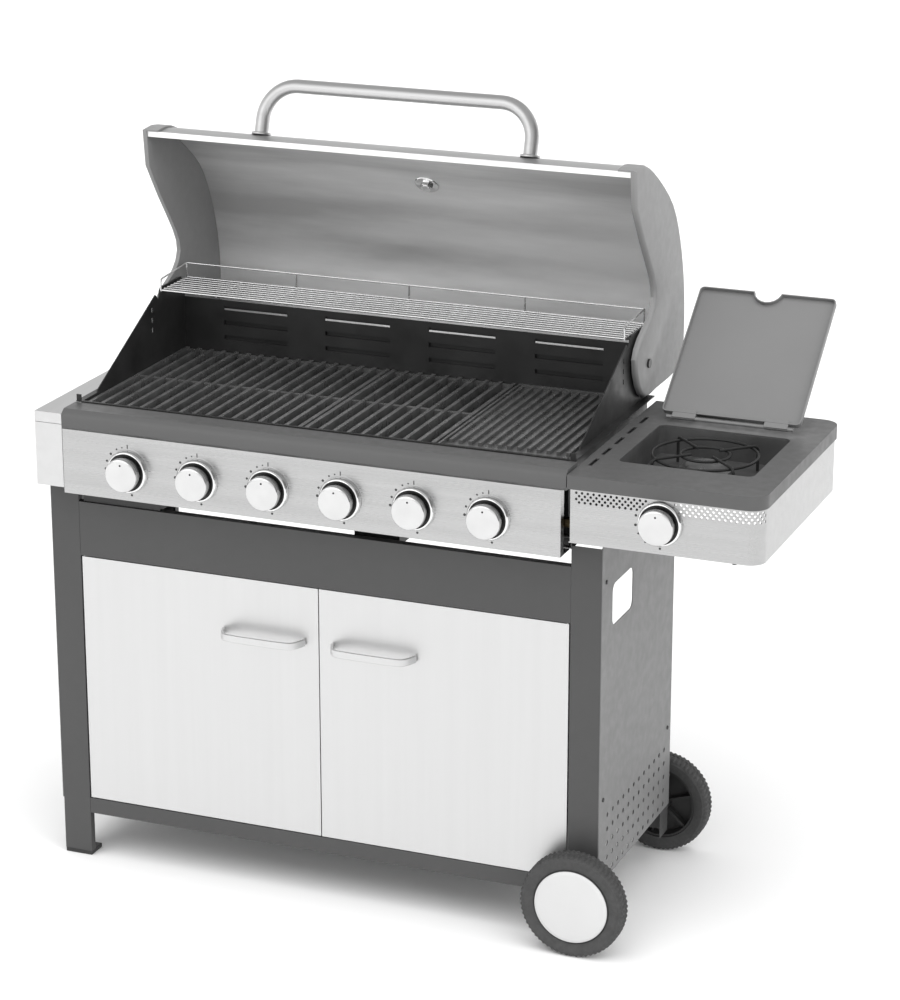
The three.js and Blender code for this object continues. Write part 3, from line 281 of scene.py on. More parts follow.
LEG_PAINT = powder_coat("leg_paint", 0.05)
# The side panels' paint is lighter than the leg paint: painted light from the right.
PANEL_PAINT_PAINTED_LIGHT = powder_coat("panel_paint_painted_light", 0.145)
TRIM_PAINT = powder_coat("trim_paint", 0.075, roughness=0.42)
CAP_PAINT = powder_coat("cap_paint", 0.21, roughness=0.5)
SIDE_LID_PAINT = powder_coat("side_lid_paint", 0.16, roughness=0.42)
DOOR_STEEL = brushed_steel("door_steel", 0.63, roughness=(0.34, 0.42), along=ALONG_Z, change=0.01)
PANEL_STEEL = brushed_steel("panel_steel", 0.47, roughness=(0.24, 0.34))
STRIP_STEEL = brushed_steel("strip_steel", 0.62, roughness=(0.34, 0.42), along=ALONG_Y, change=0.02)
# The inside level is above the outside level: the lid's inside is painted lighter, as painted reflection.
LID_STEEL = lid_steel("lid_steel", inside=0.8, outside=0.56, hollow=lid_hollow())
TUBE_STEEL = brushed_steel("tube_steel", 0.58, roughness=(0.34, 0.44))
HEATED_STEEL = brushed_steel("heated_steel", 0.3, roughness=(0.4, 0.55), along=ALONG_Y, change=0.2)
CHROME = polished_chrome("chrome", 0.82, roughness=0.07)
FACE_CHROME = polished_chrome("face_chrome", 0.66, roughness=0.14)
# Chrome darkened for the knobs' sides: a painted dark reflection.
CHROME_PAINTED_DARK_REFLECTION = polished_chrome("chrome_painted_dark_reflection", 0.2, roughness=0.1)
WIRE_CHROME = polished_chrome("wire_chrome", 0.72, roughness=0.2)
IRON = enamelled_iron("grate_iron", 0.075)
ENAMEL = black_enamel("black_enamel", 0.018)
BOWL_ENAMEL = black_enamel("bowl_enamel", 0.06)
RUBBER = tyre_rubber("tyre_rubber", 0.045)
HUB_PLASTIC = moulded_plastic("hub_plastic", 0.54, roughness=0.4)
BLACK_PLASTIC = moulded_plastic("black_plastic", 0.02, roughness=0.5)
PRINT = moulded_plastic("panel_print", 0.03, roughness=0.6)
# Dark brass: painted shade in the gap beside the control panel.
BRASS_IN_PAINTED_SHADE = brass_in_painted_shade("brass", dark=(0.04, 0.03, 0.02), light=(0.08, 0.06, 0.03))
FLOOR = studio_floor("studio_floor", 0.86)

NODE_MATERIALS = {
    LEG_PAINT: [
        "leg_front_left", "leg_rear_left", "leg_front_right", "leg_rear_right", "front_fascia",
        "front_bottom_rail", "rear_top_rail", "bottom_shelf",
    ],
    PANEL_PAINT_PAINTED_LIGHT: ["side_panel_left", "side_panel_right"],
    TRIM_PAINT: ["front_trim", "side_shelf_top"],
    CAP_PAINT: ["lid_cap_left", "lid_cap_right"],
    SIDE_LID_PAINT: ["side_burner_lid"],
    DOOR_STEEL: ["door_left", "door_right", "door_handle_left", "door_handle_right"],
    PANEL_STEEL: ["control_panel", "side_shelf_skirt"],
    STRIP_STEEL: ["filler_top", "filler_front"],
    LID_STEEL: ["lid_shell"],
    TUBE_STEEL: ["lid_handle"],
    HEATED_STEEL: ["burner_1", "burner_2", "burner_3", "burner_4", "burner_5", "burner_6", "flame_tamers"],
    CHROME: [*KNOBS, "thermometer", "wheel_axle"],
    WIRE_CHROME: ["warming_rack"],
    IRON: ["grate_left", "grate_middle", "griddle_plate", "side_burner"],
    ENAMEL: ["firebox", "drip_tray", "pot_support"],
    BOWL_ENAMEL: ["side_burner_bowl"],
    RUBBER: ["tyre_front", "tyre_rear"],
    HUB_PLASTIC: ["wheel_hub_front", "wheel_hub_rear"],
    BLACK_PLASTIC: ["foot_front_left", "foot_rear_left", "igniter_box"],
    BRASS_IN_PAINTED_SHADE: ["gas_manifold"],
}


def paint_nodes():
    for material, members in NODE_MATERIALS.items():
        for node in members:
            nodes[node].data.materials.clear()
            nodes[node].data.materials.append(material)


# ---------- edges of the CAD nodes ----------

WELD_DISTANCE = 0.005 * MM
FLAT_ANGLE = math.radians(0.5)
BEVEL_ANGLE = math.radians(32)
BEVEL_SEGMENTS = 2

# Each node's edges are rounded by so many millimetres.
SOFT_EDGES = {
    "leg_front_left": 1.5, "leg_rear_left": 1.5, "leg_front_right": 1.5, "leg_rear_right": 1.5,
    "front_fascia": 0.8, "front_bottom_rail": 0.8, "rear_top_rail": 0.8, "bottom_shelf": 0.8,
    "side_panel_left": 0.6, "door_left": 0.9, "door_right": 0.9, "filler_top": 0.7,
    "filler_front": 0.7, "front_trim": 0.6, "side_shelf_top": 1.0, "lid_shell": 0.4,
    "firebox": 0.6, "grate_left": 1.0, "grate_middle": 1.0, "griddle_plate": 0.7,
    "side_burner_lid": 0.8, "side_burner_bowl": 0.6, "side_burner": 1.0, "drip_tray": 0.5,
    "door_handle_left": 1.6, "door_handle_right": 1.6, "control_panel": 0.6, "igniter_box": 1.0,
    "foot_front_left": 1.0, "foot_rear_left": 1.0,
}


def soften(node, width):
    """Rounds a CAD node's edges with modifiers, so that they catch the light."""
    piece = nodes[node]
    mesh = piece.data
    for name in ("custom_normal", "sharp_edge"):
        if name in mesh.attributes:
            mesh.attributes.remove(mesh.attributes[name])
    for face in mesh.polygons:
        face.use_smooth = True
    weld = piece.modifiers.new("weld", "WELD")
    weld.merge_threshold = WELD_DISTANCE
    flat = piece.modifiers.new("flat", "DECIMATE")
    flat.decimate_type = "DISSOLVE"
    flat.angle_limit = FLAT_ANGLE
    bevel = piece.modifiers.new("bevel", "BEVEL")
    bevel.width = width
    bevel.segments = BEVEL_SEGMENTS
    bevel.limit_method = "ANGLE"
    bevel.angle_limit = BEVEL_ANGLE
    bevel.harden_normals = True


def soften_nodes():
    for node, width in SOFT_EDGES.items():
        soften(node, width * MM)


# ---------- making pieces ----------

JOIN_DISTANCE = 0.001 * MM


def middle_of(node):
    low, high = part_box(node)
    return (low + high) / 2


def full_turn(steps):
    """The angles of so many equal steps round a circle."""
    return [2 * math.pi * step / steps for step in range(steps)]


def even_places(first, last, count):
    return [first + (last - first) * index / (count - 1) for index in range(count)]


def arc(centre, start, end, steps):
    """Points of a quarter turn about centre, from centre + start to centre + end."""
    turns = [math.pi / 2 * step / steps for step in range(steps + 1)]
    return [Vector(centre) + Vector(start) * math.cos(t) + Vector(end) * math.sin(t) for t in turns]


def disc(radius, start, end):
    """The profile of a plain round piece, from start to end along its axis."""
    return [(0, start), (radius, start), (radius, end), (0, end)]


def add_ring(work, centre, side, other, radius, steps):
    """Corners on a circle round centre, in the plane of side and other."""
    return [
        work.verts.new(centre + (side * math.cos(turn) + other * math.sin(turn)) * radius)
        for turn in full_turn(steps)
    ]


def join_rings(work, first, second):
    """Faces between two rings of corners. A ring of one corner is a tip."""
    steps = max(len(first), len(second))
    for step in range(steps):
        after = (step + 1) % steps
        near = [first[step % len(first)], first[after % len(first)]]
        far = [second[after % len(second)], second[step % len(second)]]
        work.faces.new(list(dict.fromkeys(near + far)))


def add_lathe(work, profile, origin, axis, steps):
    """Turns a profile of (radius, distance along axis) round the axis. A radius of 0 is a tip."""
    axis = Vector(axis).normalized()
    side = axis.orthogonal().normalized()
    other = axis.cross(side)
    rings = []
    for radius, along in profile:
        centre = Vector(origin) + axis * along
        if radius == 0:
            rings.append([work.verts.new(centre)])
        else:
            rings.append(add_ring(work, centre, side, other, radius, steps))
    for first, second in zip(rings, rings[1:]):
        join_rings(work, first, second)


def add_tube(work, path, radius, sides, closed=False):
    """A round wire or bar along a path of points, with flat ends."""
    points = [Vector(point) for point in path]
    count = len(points)
    rings = []
    side = None
    for index, point in enumerate(points):
        before = points[index - 1] if index or closed else point
        after = points[(index + 1) % count] if index < count - 1 or closed else point
        way = (after - before).normalized()
        if side is None:
            side = way.orthogonal().normalized()
        side = (side - way * side.dot(way)).normalized()
        rings.append(add_ring(work, point, side, way.cross(side), radius, sides))
    for first, second in zip(rings, rings[1:]):
        join_rings(work, first, second)
    if closed:
        join_rings(work, rings[-1], rings[0])
    else:
        work.faces.new(rings[0])
        work.faces.new(rings[-1])


def add_bar(work, place, along, up, size):
    """A small box at place: size is its length along, its width and its thickness along up."""
    across = up.cross(along)
    basis = Matrix((along, across, up)).transposed().to_4x4()
    corners = bmesh.ops.create_cube(work, size=1)["verts"]
    move = Matrix.Translation(place) @ basis @ Matrix.Diagonal((*size, 1))
    bmesh.ops.transform(work, matrix=move, verts=corners)


def welded_copy(node):
    """A CAD node's shape with its shared corners joined and its flat faces made whole."""
    work = bmesh.new()
    work.from_mesh(nodes[node].data)
    bmesh.ops.remove_doubles(work, verts=work.verts, dist=WELD_DISTANCE)
    bmesh.ops.dissolve_limit(
        work, angle_limit=FLAT_ANGLE, verts=work.verts, edges=work.edges, delimit=set()
    )
    return work


def mesh_of(work, name):
    bmesh.ops.remove_doubles(work, verts=work.verts, dist=JOIN_DISTANCE)
    bmesh.ops.recalc_face_normals(work, faces=work.faces)
    mesh = bpy.data.meshes.new(name)
    work.to_mesh(mesh)
    work.free()
    return mesh


def sharpen(mesh, degrees):
    """Smooth shading, apart from the edges that turn more than so many degrees."""
    work = bmesh.new()
    work.from_mesh(mesh)
    for face in work.faces:
        face.smooth = True
    for edge in work.edges:
        edge.smooth = len(edge.link_faces) == 2 and edge.calc_face_angle() < math.radians(degrees)
    work.to_mesh(mesh)
    work.free()


def add_piece(name, mesh, material, body, replaced=(), sharp=35):
    sharpen(mesh, sharp)
    mesh.materials.clear()
    mesh.materials.append(material)
    piece = bpy.data.objects.new(name, mesh)
    bpy.context.scene.collection.objects.link(piece)
    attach(piece, body)
    if replaced:
        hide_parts(*replaced)


def add_turned_piece(name, lathe, material, body, replaced=()):
    """A piece that is one lathe shape: lathe is its profile, origin, axis and steps."""
    work = bmesh.new()
    add_lathe(work, *lathe)
    add_piece(name, mesh_of(work, name), material, body, replaced)


# ---------- knobs ----------

KNOB_STEPS = 96
DOT_STEPS = 20
GROOVE = 6.4 * MM                  # from a knob's front to the groove behind its face
POINTER_RADIUS = 1.7 * MM
POINTER_HEIGHT = 0.6 * MM
POINTER_PLACE = 0.62               # share of the knob's radius
BEZEL_GAP = 6.5 * MM               # from a knob's side to its bezel's outer shoulder
BEZEL_LIP = 3.6 * MM               # from the shoulder in to the bezel's opening
BEZEL_BACK = -5.2 * MM
SHEET_BEHIND_COLLAR = 6 * MM       # from the collars' faces back to the panel's sheet
MARKS_GAP = 6 * MM                 # from the bezel's shoulder to the marks
TICK_SIZE = (7 * MM, 1.6 * MM, 0.5 * MM)

# (degrees round the knob, radius in millimetres)
PANEL_DOTS = [(180, 2.4), (160, 2), (139, 2.2), (119, 1.6), (104, 1.3), (-82, 2)]
SHELF_DOTS = [(168, 2.2), (190, 2.4), (210, 1.8), (234, 1.6), (270, 2)]


def side_profile(radius, depth):
    """The knob's side, as far as the groove behind its face; it takes chrome darkened as a painted dark
    reflection.
    """
    groove = depth - GROOVE
    return [
        (0, 0), (radius - 2 * MM, 0), (radius - 2 * MM, 4 * MM), (radius - 0.2 * MM, 4.6 * MM),
        (radius, 6 * MM), (radius, groove - 2.6 * MM), (radius - 1.2 * MM, groove - 2 * MM),
        (radius - 1.2 * MM, groove - 0.6 * MM), (radius - 0.2 * MM, groove), (0, groove),
    ]


def face_profile(radius, depth):
    """The bright front of a knob."""
    groove = depth - GROOVE
    return [
        (0, groove), (radius - 0.2 * MM, groove), (radius, groove + 0.8 * MM),
        (radius, depth - 2.6 * MM), (radius - 0.6 * MM, depth - 1.3 * MM),
        (radius - 1.8 * MM, depth - 0.6 * MM), (radius * 0.8, depth - 0.35 * MM),
        (radius * 0.4, depth - 0.1 * MM), (0, depth),
    ]


def bezel_profile(radius):
    lip = radius - BEZEL_LIP
    return [
        (lip, BEZEL_BACK), (lip, 2.2 * MM), (radius - 2.8 * MM, 3.2 * MM), (radius - 1.6 * MM, 3 * MM),
        (radius, 1.6 * MM), (radius + 1.2 * MM, -1 * MM), (radius + 1.6 * MM, -3.4 * MM),
        (radius + 1.6 * MM, BEZEL_BACK), (lip, BEZEL_BACK),
    ]


def painted_dark_ring_profile(knob_radius, bezel_radius):
    """A black ring between a knob and its bezel, widening the painted dark reflection of the knob's side."""
    inner = knob_radius - 1.7 * MM
    outer = bezel_radius - BEZEL_LIP + 0.2 * MM
    return [(inner, -1 * MM), (inner, 0.5 * MM), (outer, 0.5 * MM), (outer, -1 * MM), (inner, -1 * MM)]


def add_knob_marks(work, dots, centre, radius):
    """Plain dots and one tick round a knob, in place of any lettering."""
    for degrees, size in dots:
        turn = math.radians(degrees)
        spot = centre + (RIGHT * math.cos(turn) + UP * math.sin(turn)) * radius
        add_lathe(work, disc(size * MM, 0.4 * MM, -0.15 * MM), spot, BACK, steps=12)
    add_bar(work, centre + UP * (radius + 1.5 * MM), UP, BACK, TICK_SIZE)


def make_knob(knob, radius, depth, back):
    """The knob itself: its side in chrome darkened as a painted dark reflection, its bright face and the pointer's
    dot.
    """
    body = body_of_node[knob]
    # The side is chrome darkened as a painted dark reflection.
    side = (side_profile(radius, depth), back, FRONT, KNOB_STEPS)
    add_turned_piece(f"{knob}_side", side, CHROME_PAINTED_DARK_REFLECTION, body, [knob])
    face = (face_profile(radius, depth), back, FRONT, KNOB_STEPS)
    add_turned_piece(f"{knob}_face", face, FACE_CHROME, body)
    spot = back + FRONT * (depth + 0.1 * MM) + UP * (radius * POINTER_PLACE)
    dot = [(POINTER_RADIUS, POINTER_HEIGHT), (POINTER_RADIUS, 0), (0, -0.1 * MM)]
    add_turned_piece(f"{knob}_pointer", (dot, spot, BACK, DOT_STEPS), PRINT, body)


def make_knob_surround(knob, radius, collar, dots):
    """The bezel, the black ring of painted dark reflection in it and the printed marks round it."""
    outer = radius + BEZEL_GAP
    bezel = (bezel_profile(outer), collar, FRONT, KNOB_STEPS)
    add_turned_piece(f"{knob}_bezel", bezel, CHROME, "cart")
    # A black ring in the bezel: painted dark reflection.
    painted_dark_ring = (painted_dark_ring_profile(radius, outer), collar, FRONT, KNOB_STEPS)
    add_turned_piece(f"{knob}_seat", painted_dark_ring, BLACK_PLASTIC, "cart")
    work = bmesh.new()
    add_knob_marks(work, dots, collar + BACK * SHEET_BEHIND_COLLAR, outer + MARKS_GAP)
    add_piece(f"{knob}_marks", mesh_of(work, knob), PRINT, "cart")


def make_knobs():
    for knob in KNOBS:
        on_shelf = knob == "side_knob"
        panel = "side_shelf_skirt" if on_shelf else "control_panel"
        low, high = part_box(knob)
        centre = middle_of(knob)
        radius = (high.x - low.x) / 2
        depth = high.y - low.y - POINTER_HEIGHT
        make_knob(knob, radius, depth, Vector((centre.x, high.y, centre.z)))
        collar = Vector((centre.x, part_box(panel)[0].y, centre.z))
        make_knob_surround(knob, radius, collar, SHELF_DOTS if on_shelf else PANEL_DOTS)


# ---------- wheels ----------

WHEEL_STEPS = 96
TREAD_RIBS = 64
STEPS_PER_RIB = 4                  # two for the rib and two for the gap
TREAD_DEPTH = 1.6 * MM
SPOKES = 6
SPOKE_TURN = 0.3                   # radians from the X axis to the first spoke
SPOKE_WIDTH = 4 * MM
HUB_RING = 20 * MM
AXLE_TUBE = 17 * MM
BORE = 6.6 * MM
HUB_CLEARANCE = 0.5 * MM           # between a hub and its tyre


def tyre_profile(inner, outer, half):
    """(radius, distance along the axle, row) of a tyre's section. Row 0 is plain, 1 and 2 are ribbed."""
    near = [
        (inner, half - 3 * MM, 0), (inner + 6 * MM, half - 1.4 * MM, 0), (outer - 11 * MM, half, 0),
        (outer - 8 * MM, half, 0), (outer - 7 * MM, half - 0.8 * MM, 0),
        (outer - 3 * MM, half - 1.6 * MM, 1), (outer - 0.4 * MM, half - 5 * MM, 1),
        (outer, half - 9 * MM, 1), (outer, 2.4 * MM, 1), (outer - TREAD_DEPTH, 1.6 * MM, 0),
    ]
    far = [(radius, along, 2 if row else 0) for radius, along, row in reversed(near)]
    return [(radius, -along, row) for radius, along, row in near] + far


def make_tyre(end):
    """A ribbed tyre: two staggered rows of ribs with a groove between them."""
    tyre = f"tyre_{end}"
    low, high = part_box(tyre)
    hub_low, hub_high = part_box(f"wheel_hub_{end}")
    centre = middle_of(tyre)
    outer = (high.z - low.z) / 2
    half = (high.y - low.y) / 2
    inner = (hub_high.x - hub_low.x) / 2
    work = bmesh.new()
    rings = []
    for radius, along, row in tyre_profile(inner, outer, half):
        ring = []
        for step, turn in enumerate(full_turn(TREAD_RIBS * STEPS_PER_RIB)):
            in_gap = row and (step + 2 * row) % STEPS_PER_RIB < 2
            reach = radius - TREAD_DEPTH if in_gap else radius
            ring.append(work.verts.new((
                centre.x + reach * math.cos(turn), centre.y + along, centre.z + reach * math.sin(turn)
            )))
        rings.append(ring)
    for first, second in zip(rings, rings[1:] + rings[:1]):
        join_rings(work, first, second)
    add_piece(
        f"tyre_{end}_ribbed", mesh_of(work, tyre), RUBBER, body_of_node[tyre], [tyre],
        sharp=25,
    )


def make_hub_cover(end, radius, origin, inward):
    """The pale cover on the wheel's outside."""
    node = f"wheel_hub_{end}"
    cover = [
        (0, 0.2 * MM), (radius * 0.5, 0.5 * MM), (radius * 0.86, 1.6 * MM), (radius - 3.5 * MM, 2.6 * MM),
        (radius - 2 * MM, 3.6 * MM), (radius - 1.6 * MM, 6 * MM), (0, 6.2 * MM),
    ]
    lathe = (cover, origin, inward, WHEEL_STEPS)
    add_turned_piece(f"wheel_cover_{end}", lathe, HUB_PLASTIC, body_of_node[node], [node])


def make_hub_body(end, radius, depth, origin, inward):
    """The dark spoked wheel body behind the cover."""
    rim = [
        (radius - 1.4 * MM, 3.4 * MM), (radius, 4.6 * MM), (radius, depth - 3 * MM),
        (radius - 4 * MM, depth - 3 * MM), (radius - 5 * MM, 12 * MM), (HUB_RING, 11 * MM),
        (AXLE_TUBE + MM, 12 * MM), (AXLE_TUBE, depth), (BORE + 1.4 * MM, depth), (BORE, depth - MM),
        (BORE, 6.4 * MM), (radius - 1.4 * MM, 6.4 * MM), (radius - 1.4 * MM, 3.4 * MM),
    ]
    work = bmesh.new()
    add_lathe(work, rim, origin, inward, WHEEL_STEPS)
    length = radius - HUB_RING
    for spoke_turn in full_turn(SPOKES):
        turn = spoke_turn + SPOKE_TURN
        out = Vector((math.cos(turn), 0, math.sin(turn)))
        place = origin + out * (AXLE_TUBE - MM + length / 2) + inward * (depth / 2)
        add_bar(work, place, out, inward, (length, SPOKE_WIDTH, depth / 2))
    body = body_of_node[f"wheel_hub_{end}"]
    add_piece(f"wheel_body_{end}", mesh_of(work, end), BLACK_PLASTIC, body)


def make_hub(end, outward):
    """A wheel inside its tyre. outward points to the wheel's outer side."""
    node = f"wheel_hub_{end}"
    low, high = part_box(node)
    radius = (high.x - low.x) / 2 - HUB_CLEARANCE
    depth = high.y - low.y
    origin = middle_of(node)
    origin.y = high.y if outward.y > 0 else low.y
    make_hub_cover(end, radius, origin, -outward)
    make_hub_body(end, radius, depth, origin, -outward)


# ---------- lid ----------

HANDLE_LEAN = math.radians(17.4)     # how far the handle leans back with the lid open
HANDLE_REACH = 88 * MM
HANDLE_RADIUS = 12 * MM
HANDLE_BEND = 60 * MM
FOOT_FLANGE = 5 * MM
CAP_ROUND = 6 * MM
CAP_PLAIN_RADIUS = 12 * MM           # the cap's edge stays sharp this near to the hinge
SCREW_RADIUS = 7.5 * MM
SCREW_STEPS = 24


def make_lid_handle():
    """The bent tube along the lid's front, on two round feet."""
    low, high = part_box("lid_handle")
    out = Vector((0, math.sin(HANDLE_LEAN), math.cos(HANDLE_LEAN)))
    bar = Vector(((low.x + high.x) / 2, high.y - HANDLE_RADIUS, high.z - HANDLE_RADIUS))
    half = (high.x - low.x) / 2 - HANDLE_RADIUS - FOOT_FLANGE
    foot = bar - out * HANDLE_REACH
    straight = half - HANDLE_BEND
    left_turn = bar - RIGHT * straight - out * HANDLE_BEND
    right_turn = bar + RIGHT * straight - out * HANDLE_BEND
    path = [foot - RIGHT * half + out * MM]
    path += arc(left_turn, -RIGHT * HANDLE_BEND, out * HANDLE_BEND, steps=12)
    path += arc(right_turn, out * HANDLE_BEND, RIGHT * HANDLE_BEND, steps=12)
    path += [foot + RIGHT * half + out * MM]
    work = bmesh.new()
    add_tube(work, path, HANDLE_RADIUS, sides=32)
    flange = HANDLE_RADIUS + FOOT_FLANGE
    foot_profile = [
        (0, 0.8 * MM), (flange, 0.8 * MM), (flange, 3.4 * MM), (flange - MM, 4.6 * MM),
        (HANDLE_RADIUS - MM, 5 * MM), (0, 5 * MM),
    ]
    for way in (-RIGHT, RIGHT):
        add_lathe(work, foot_profile, foot + way * half, out, steps=40)
    add_piece(
        "lid_handle_tube", mesh_of(work, "handle"), TUBE_STEEL, "lid", ["lid_handle"]
    )


def is_cap_rim(edge, face_x):
    """Whether an edge lies in the cap's outer face, away from the hinge."""
    hinge = Vector((face_x, LID_HINGE.y, LID_HINGE.z))
    return all(
        abs(vert.co.x - face_x) < 0.1 * MM and (vert.co - hinge).length > CAP_PLAIN_RADIUS
        for vert in edge.verts
    )


def make_lid_cap(side, face_x):
    """A cast end cap, with a full round along its outer edges."""
    node = f"lid_cap_{side}"
    work = welded_copy(node)
    rim = [edge for edge in work.edges if is_cap_rim(edge, face_x)]
    bmesh.ops.bevel(
        work, geom=rim, offset=CAP_ROUND, segments=5, profile=0.5, affect="EDGES", clamp_overlap=False
    )
    add_piece(
        f"{node}_cast", mesh_of(work, node), CAP_PAINT, "lid", [node], sharp=30
    )


def make_lid_screw(side, face_x, inward):
    """The screw head over the hinge pin, on the outside of a cap."""
    head = [
        (0, 0), (SCREW_RADIUS - 0.5 * MM, 0), (SCREW_RADIUS, 0.6 * MM), (SCREW_RADIUS, 3 * MM), (0, 3 * MM),
    ]
    place = Vector((face_x, LID_HINGE.y, LID_HINGE.z)) - inward * (0.4 * MM)
    lathe = (head, place, inward, SCREW_STEPS)
    add_turned_piece(f"lid_hinge_screw_{side}", lathe, WIRE_CHROME, "lid")


def make_lid_ends():
    left_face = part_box("lid_cap_left")[0].x
    right_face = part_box("lid_cap_right")[1].x
    make_lid_cap("left", left_face)
    make_lid_cap("right", right_face)
    make_lid_screw("left", left_face, RIGHT)
    make_lid_screw("right", right_face, -RIGHT)


# ---------- thermometer ----------

DIAL_RADIUS = 26 * MM
DIAL_STEPS = 64
DIAL_TICKS = 14
DIAL_SWEEP = math.radians(130)       # from the top of the dial to its first and last tick
DIAL_REST = math.radians(-120)       # where the hand points
WASHER_RADIUS = 22 * MM
NUT_RADIUS = 11.5 * MM
TICK_INSET = 5 * MM
TICK_LIFT = 0.35 * MM
HAND_LIFT = 0.9 * MM
HAND_OFFSET = 6 * MM                 # from the dial's middle to the middle of the hand
DIAL_TICK_SIZE = (5 * MM, 1 * MM, 0.4 * MM)
HAND_SIZE = (22 * MM, 1.6 * MM, 0.5 * MM)


def gauge_line():
    """The gauge's axis, which points out of the lid, and its middles inside and outside."""
    gauge = nodes["thermometer"].data
    axis = max(gauge.polygons, key=lambda face: face.area).normal.copy()
    if axis.y < 0:
        axis = -axis
    reaches = [vert.co.dot(axis) for vert in gauge.vertices]
    middle = middle_of("thermometer")
    inside = middle + axis * (min(reaches) - middle.dot(axis))
    outside = middle + axis * (max(reaches) - middle.dot(axis))
    return axis, inside, outside


def make_gauge_metal(axis, inside, outside):
    """The nut and washer inside the lid, and the ring round the dial."""
    washer = [
        (9 * MM, 7.2 * MM), (WASHER_RADIUS - MM, 7.6 * MM), (WASHER_RADIUS, 8.6 * MM),
        (WASHER_RADIUS - MM, 10 * MM), (9 * MM, 10 * MM), (9 * MM, 7.2 * MM),
    ]
    nut = [
        (0, -0.4 * MM), (4 * MM, -0.4 * MM), (NUT_RADIUS - 0.5 * MM, 1.5 * MM), (NUT_RADIUS, 7.2 * MM),
        (0, 7.2 * MM),
    ]
    ring = [
        (DIAL_RADIUS, -1 * MM), (DIAL_RADIUS, 1.2 * MM), (DIAL_RADIUS + 1.5 * MM, 2 * MM),
        (DIAL_RADIUS + 4 * MM, 1.2 * MM), (DIAL_RADIUS + 5 * MM, -1 * MM), (DIAL_RADIUS, -1 * MM),
    ]
    work = bmesh.new()
    add_lathe(work, washer, inside, axis, steps=48)
    add_lathe(work, nut, inside, axis, steps=6)
    add_lathe(work, ring, outside, axis, DIAL_STEPS)
    add_piece("thermometer_metal", mesh_of(work, "gauge"), CHROME, "lid")


def make_gauge_marks(axis, outside):
    """The ticks round the dial, and its hand."""
    up = axis.cross(RIGHT)
    work = bmesh.new()
    for turn in even_places(-DIAL_SWEEP, DIAL_SWEEP, DIAL_TICKS):
        way = RIGHT * math.sin(turn) + up * math.cos(turn)
        place = outside + way * (DIAL_RADIUS - TICK_INSET) + axis * TICK_LIFT
        add_bar(work, place, way, axis, DIAL_TICK_SIZE)
    way = RIGHT * math.sin(DIAL_REST) + up * math.cos(DIAL_REST)
    place = outside + way * HAND_OFFSET + axis * HAND_LIFT
    add_bar(work, place, way, axis, HAND_SIZE)
    add_lathe(work, disc(2.6 * MM, 0, 1.5 * MM), outside, axis, steps=20)
    add_piece("thermometer_marks", mesh_of(work, "marks"), PRINT, "lid")


def make_gauge():
    axis, inside, outside = gauge_line()
    make_gauge_metal(axis, inside, outside)
    dial = (disc(DIAL_RADIUS + 0.5 * MM, -0.5 * MM, 0.3 * MM), outside, axis, DIAL_STEPS)
    add_turned_piece("thermometer_dial", dial, HUB_PLASTIC, "lid")
    make_gauge_marks(axis, outside)


# ---------- wire pieces ----------

RACK_WIRE = 1.6 * MM
RACK_RIM = 2 * MM
RACK_RODS = 9
RACK_TIES = 9
RACK_TIE_WIRE = 0.8 * RACK_WIRE
RACK_POSTS = 5
RACK_BEND = 6 * MM
RACK_DECK_RISE = 3.3 * MM
SUPPORT_WIRE = 2.4 * MM
SUPPORT_RINGS = (86 * MM, 40 * MM)
SUPPORT_RING_DROP = 1.4 * SUPPORT_WIRE     # from the arms down to the rings
SUPPORT_ARMS = 4
SUPPORT_START = 26 * MM
SUPPORT_REACH = 96 * MM
SUPPORT_BEND = 8 * MM


def add_rack_deck(work, left, right, front, back, deck):
    """The rods that carry the food, and the ties across them."""
    for index, y in enumerate(even_places(front, back, RACK_RODS)):
        radius = RACK_RIM if index in (0, RACK_RODS - 1) else RACK_WIRE
        add_tube(work, [(left, y, deck), (right, y, deck)], radius, sides=12)
    under = deck - RACK_WIRE
    for x in even_places(left, right, RACK_TIES):
        add_tube(work, [(x, front, under), (x, back, under)], RACK_TIE_WIRE, sides=10)


def add_rack_rail(work, left, right, front, back, deck, top):
    """The raised rail along the rack's back and its two ends."""
    for x in even_places(left, right, RACK_POSTS):
        add_tube(work, [(x, back, deck), (x, back, top)], RACK_WIRE, sides=10)
    add_tube(work, [(left, back, top), (right, back, top)], RACK_WIRE, sides=12)
    for x in (left, right):
        corner = Vector((x, front + RACK_BEND, top - RACK_BEND * 2))
        end = [Vector((x, front, deck))]
        end += arc(corner, FRONT * RACK_BEND, UP * RACK_BEND, steps=6)
        end += [Vector((x, back, top))]
        add_tube(work, end, RACK_WIRE, sides=10)


def make_warming_rack():
    low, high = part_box("warming_rack")
    left, right = low.x + RACK_RIM, high.x - RACK_RIM
    front, back = low.y + RACK_RIM, high.y - RACK_RIM
    deck = low.z + RACK_DECK_RISE
    work = bmesh.new()
    add_rack_deck(work, left, right, front, back, deck)
    add_rack_rail(work, left, right, front, back, deck, high.z - RACK_RIM)
    add_piece(
        "warming_rack_wires", mesh_of(work, "rack"), WIRE_CHROME, "cart", ["warming_rack"]
    )


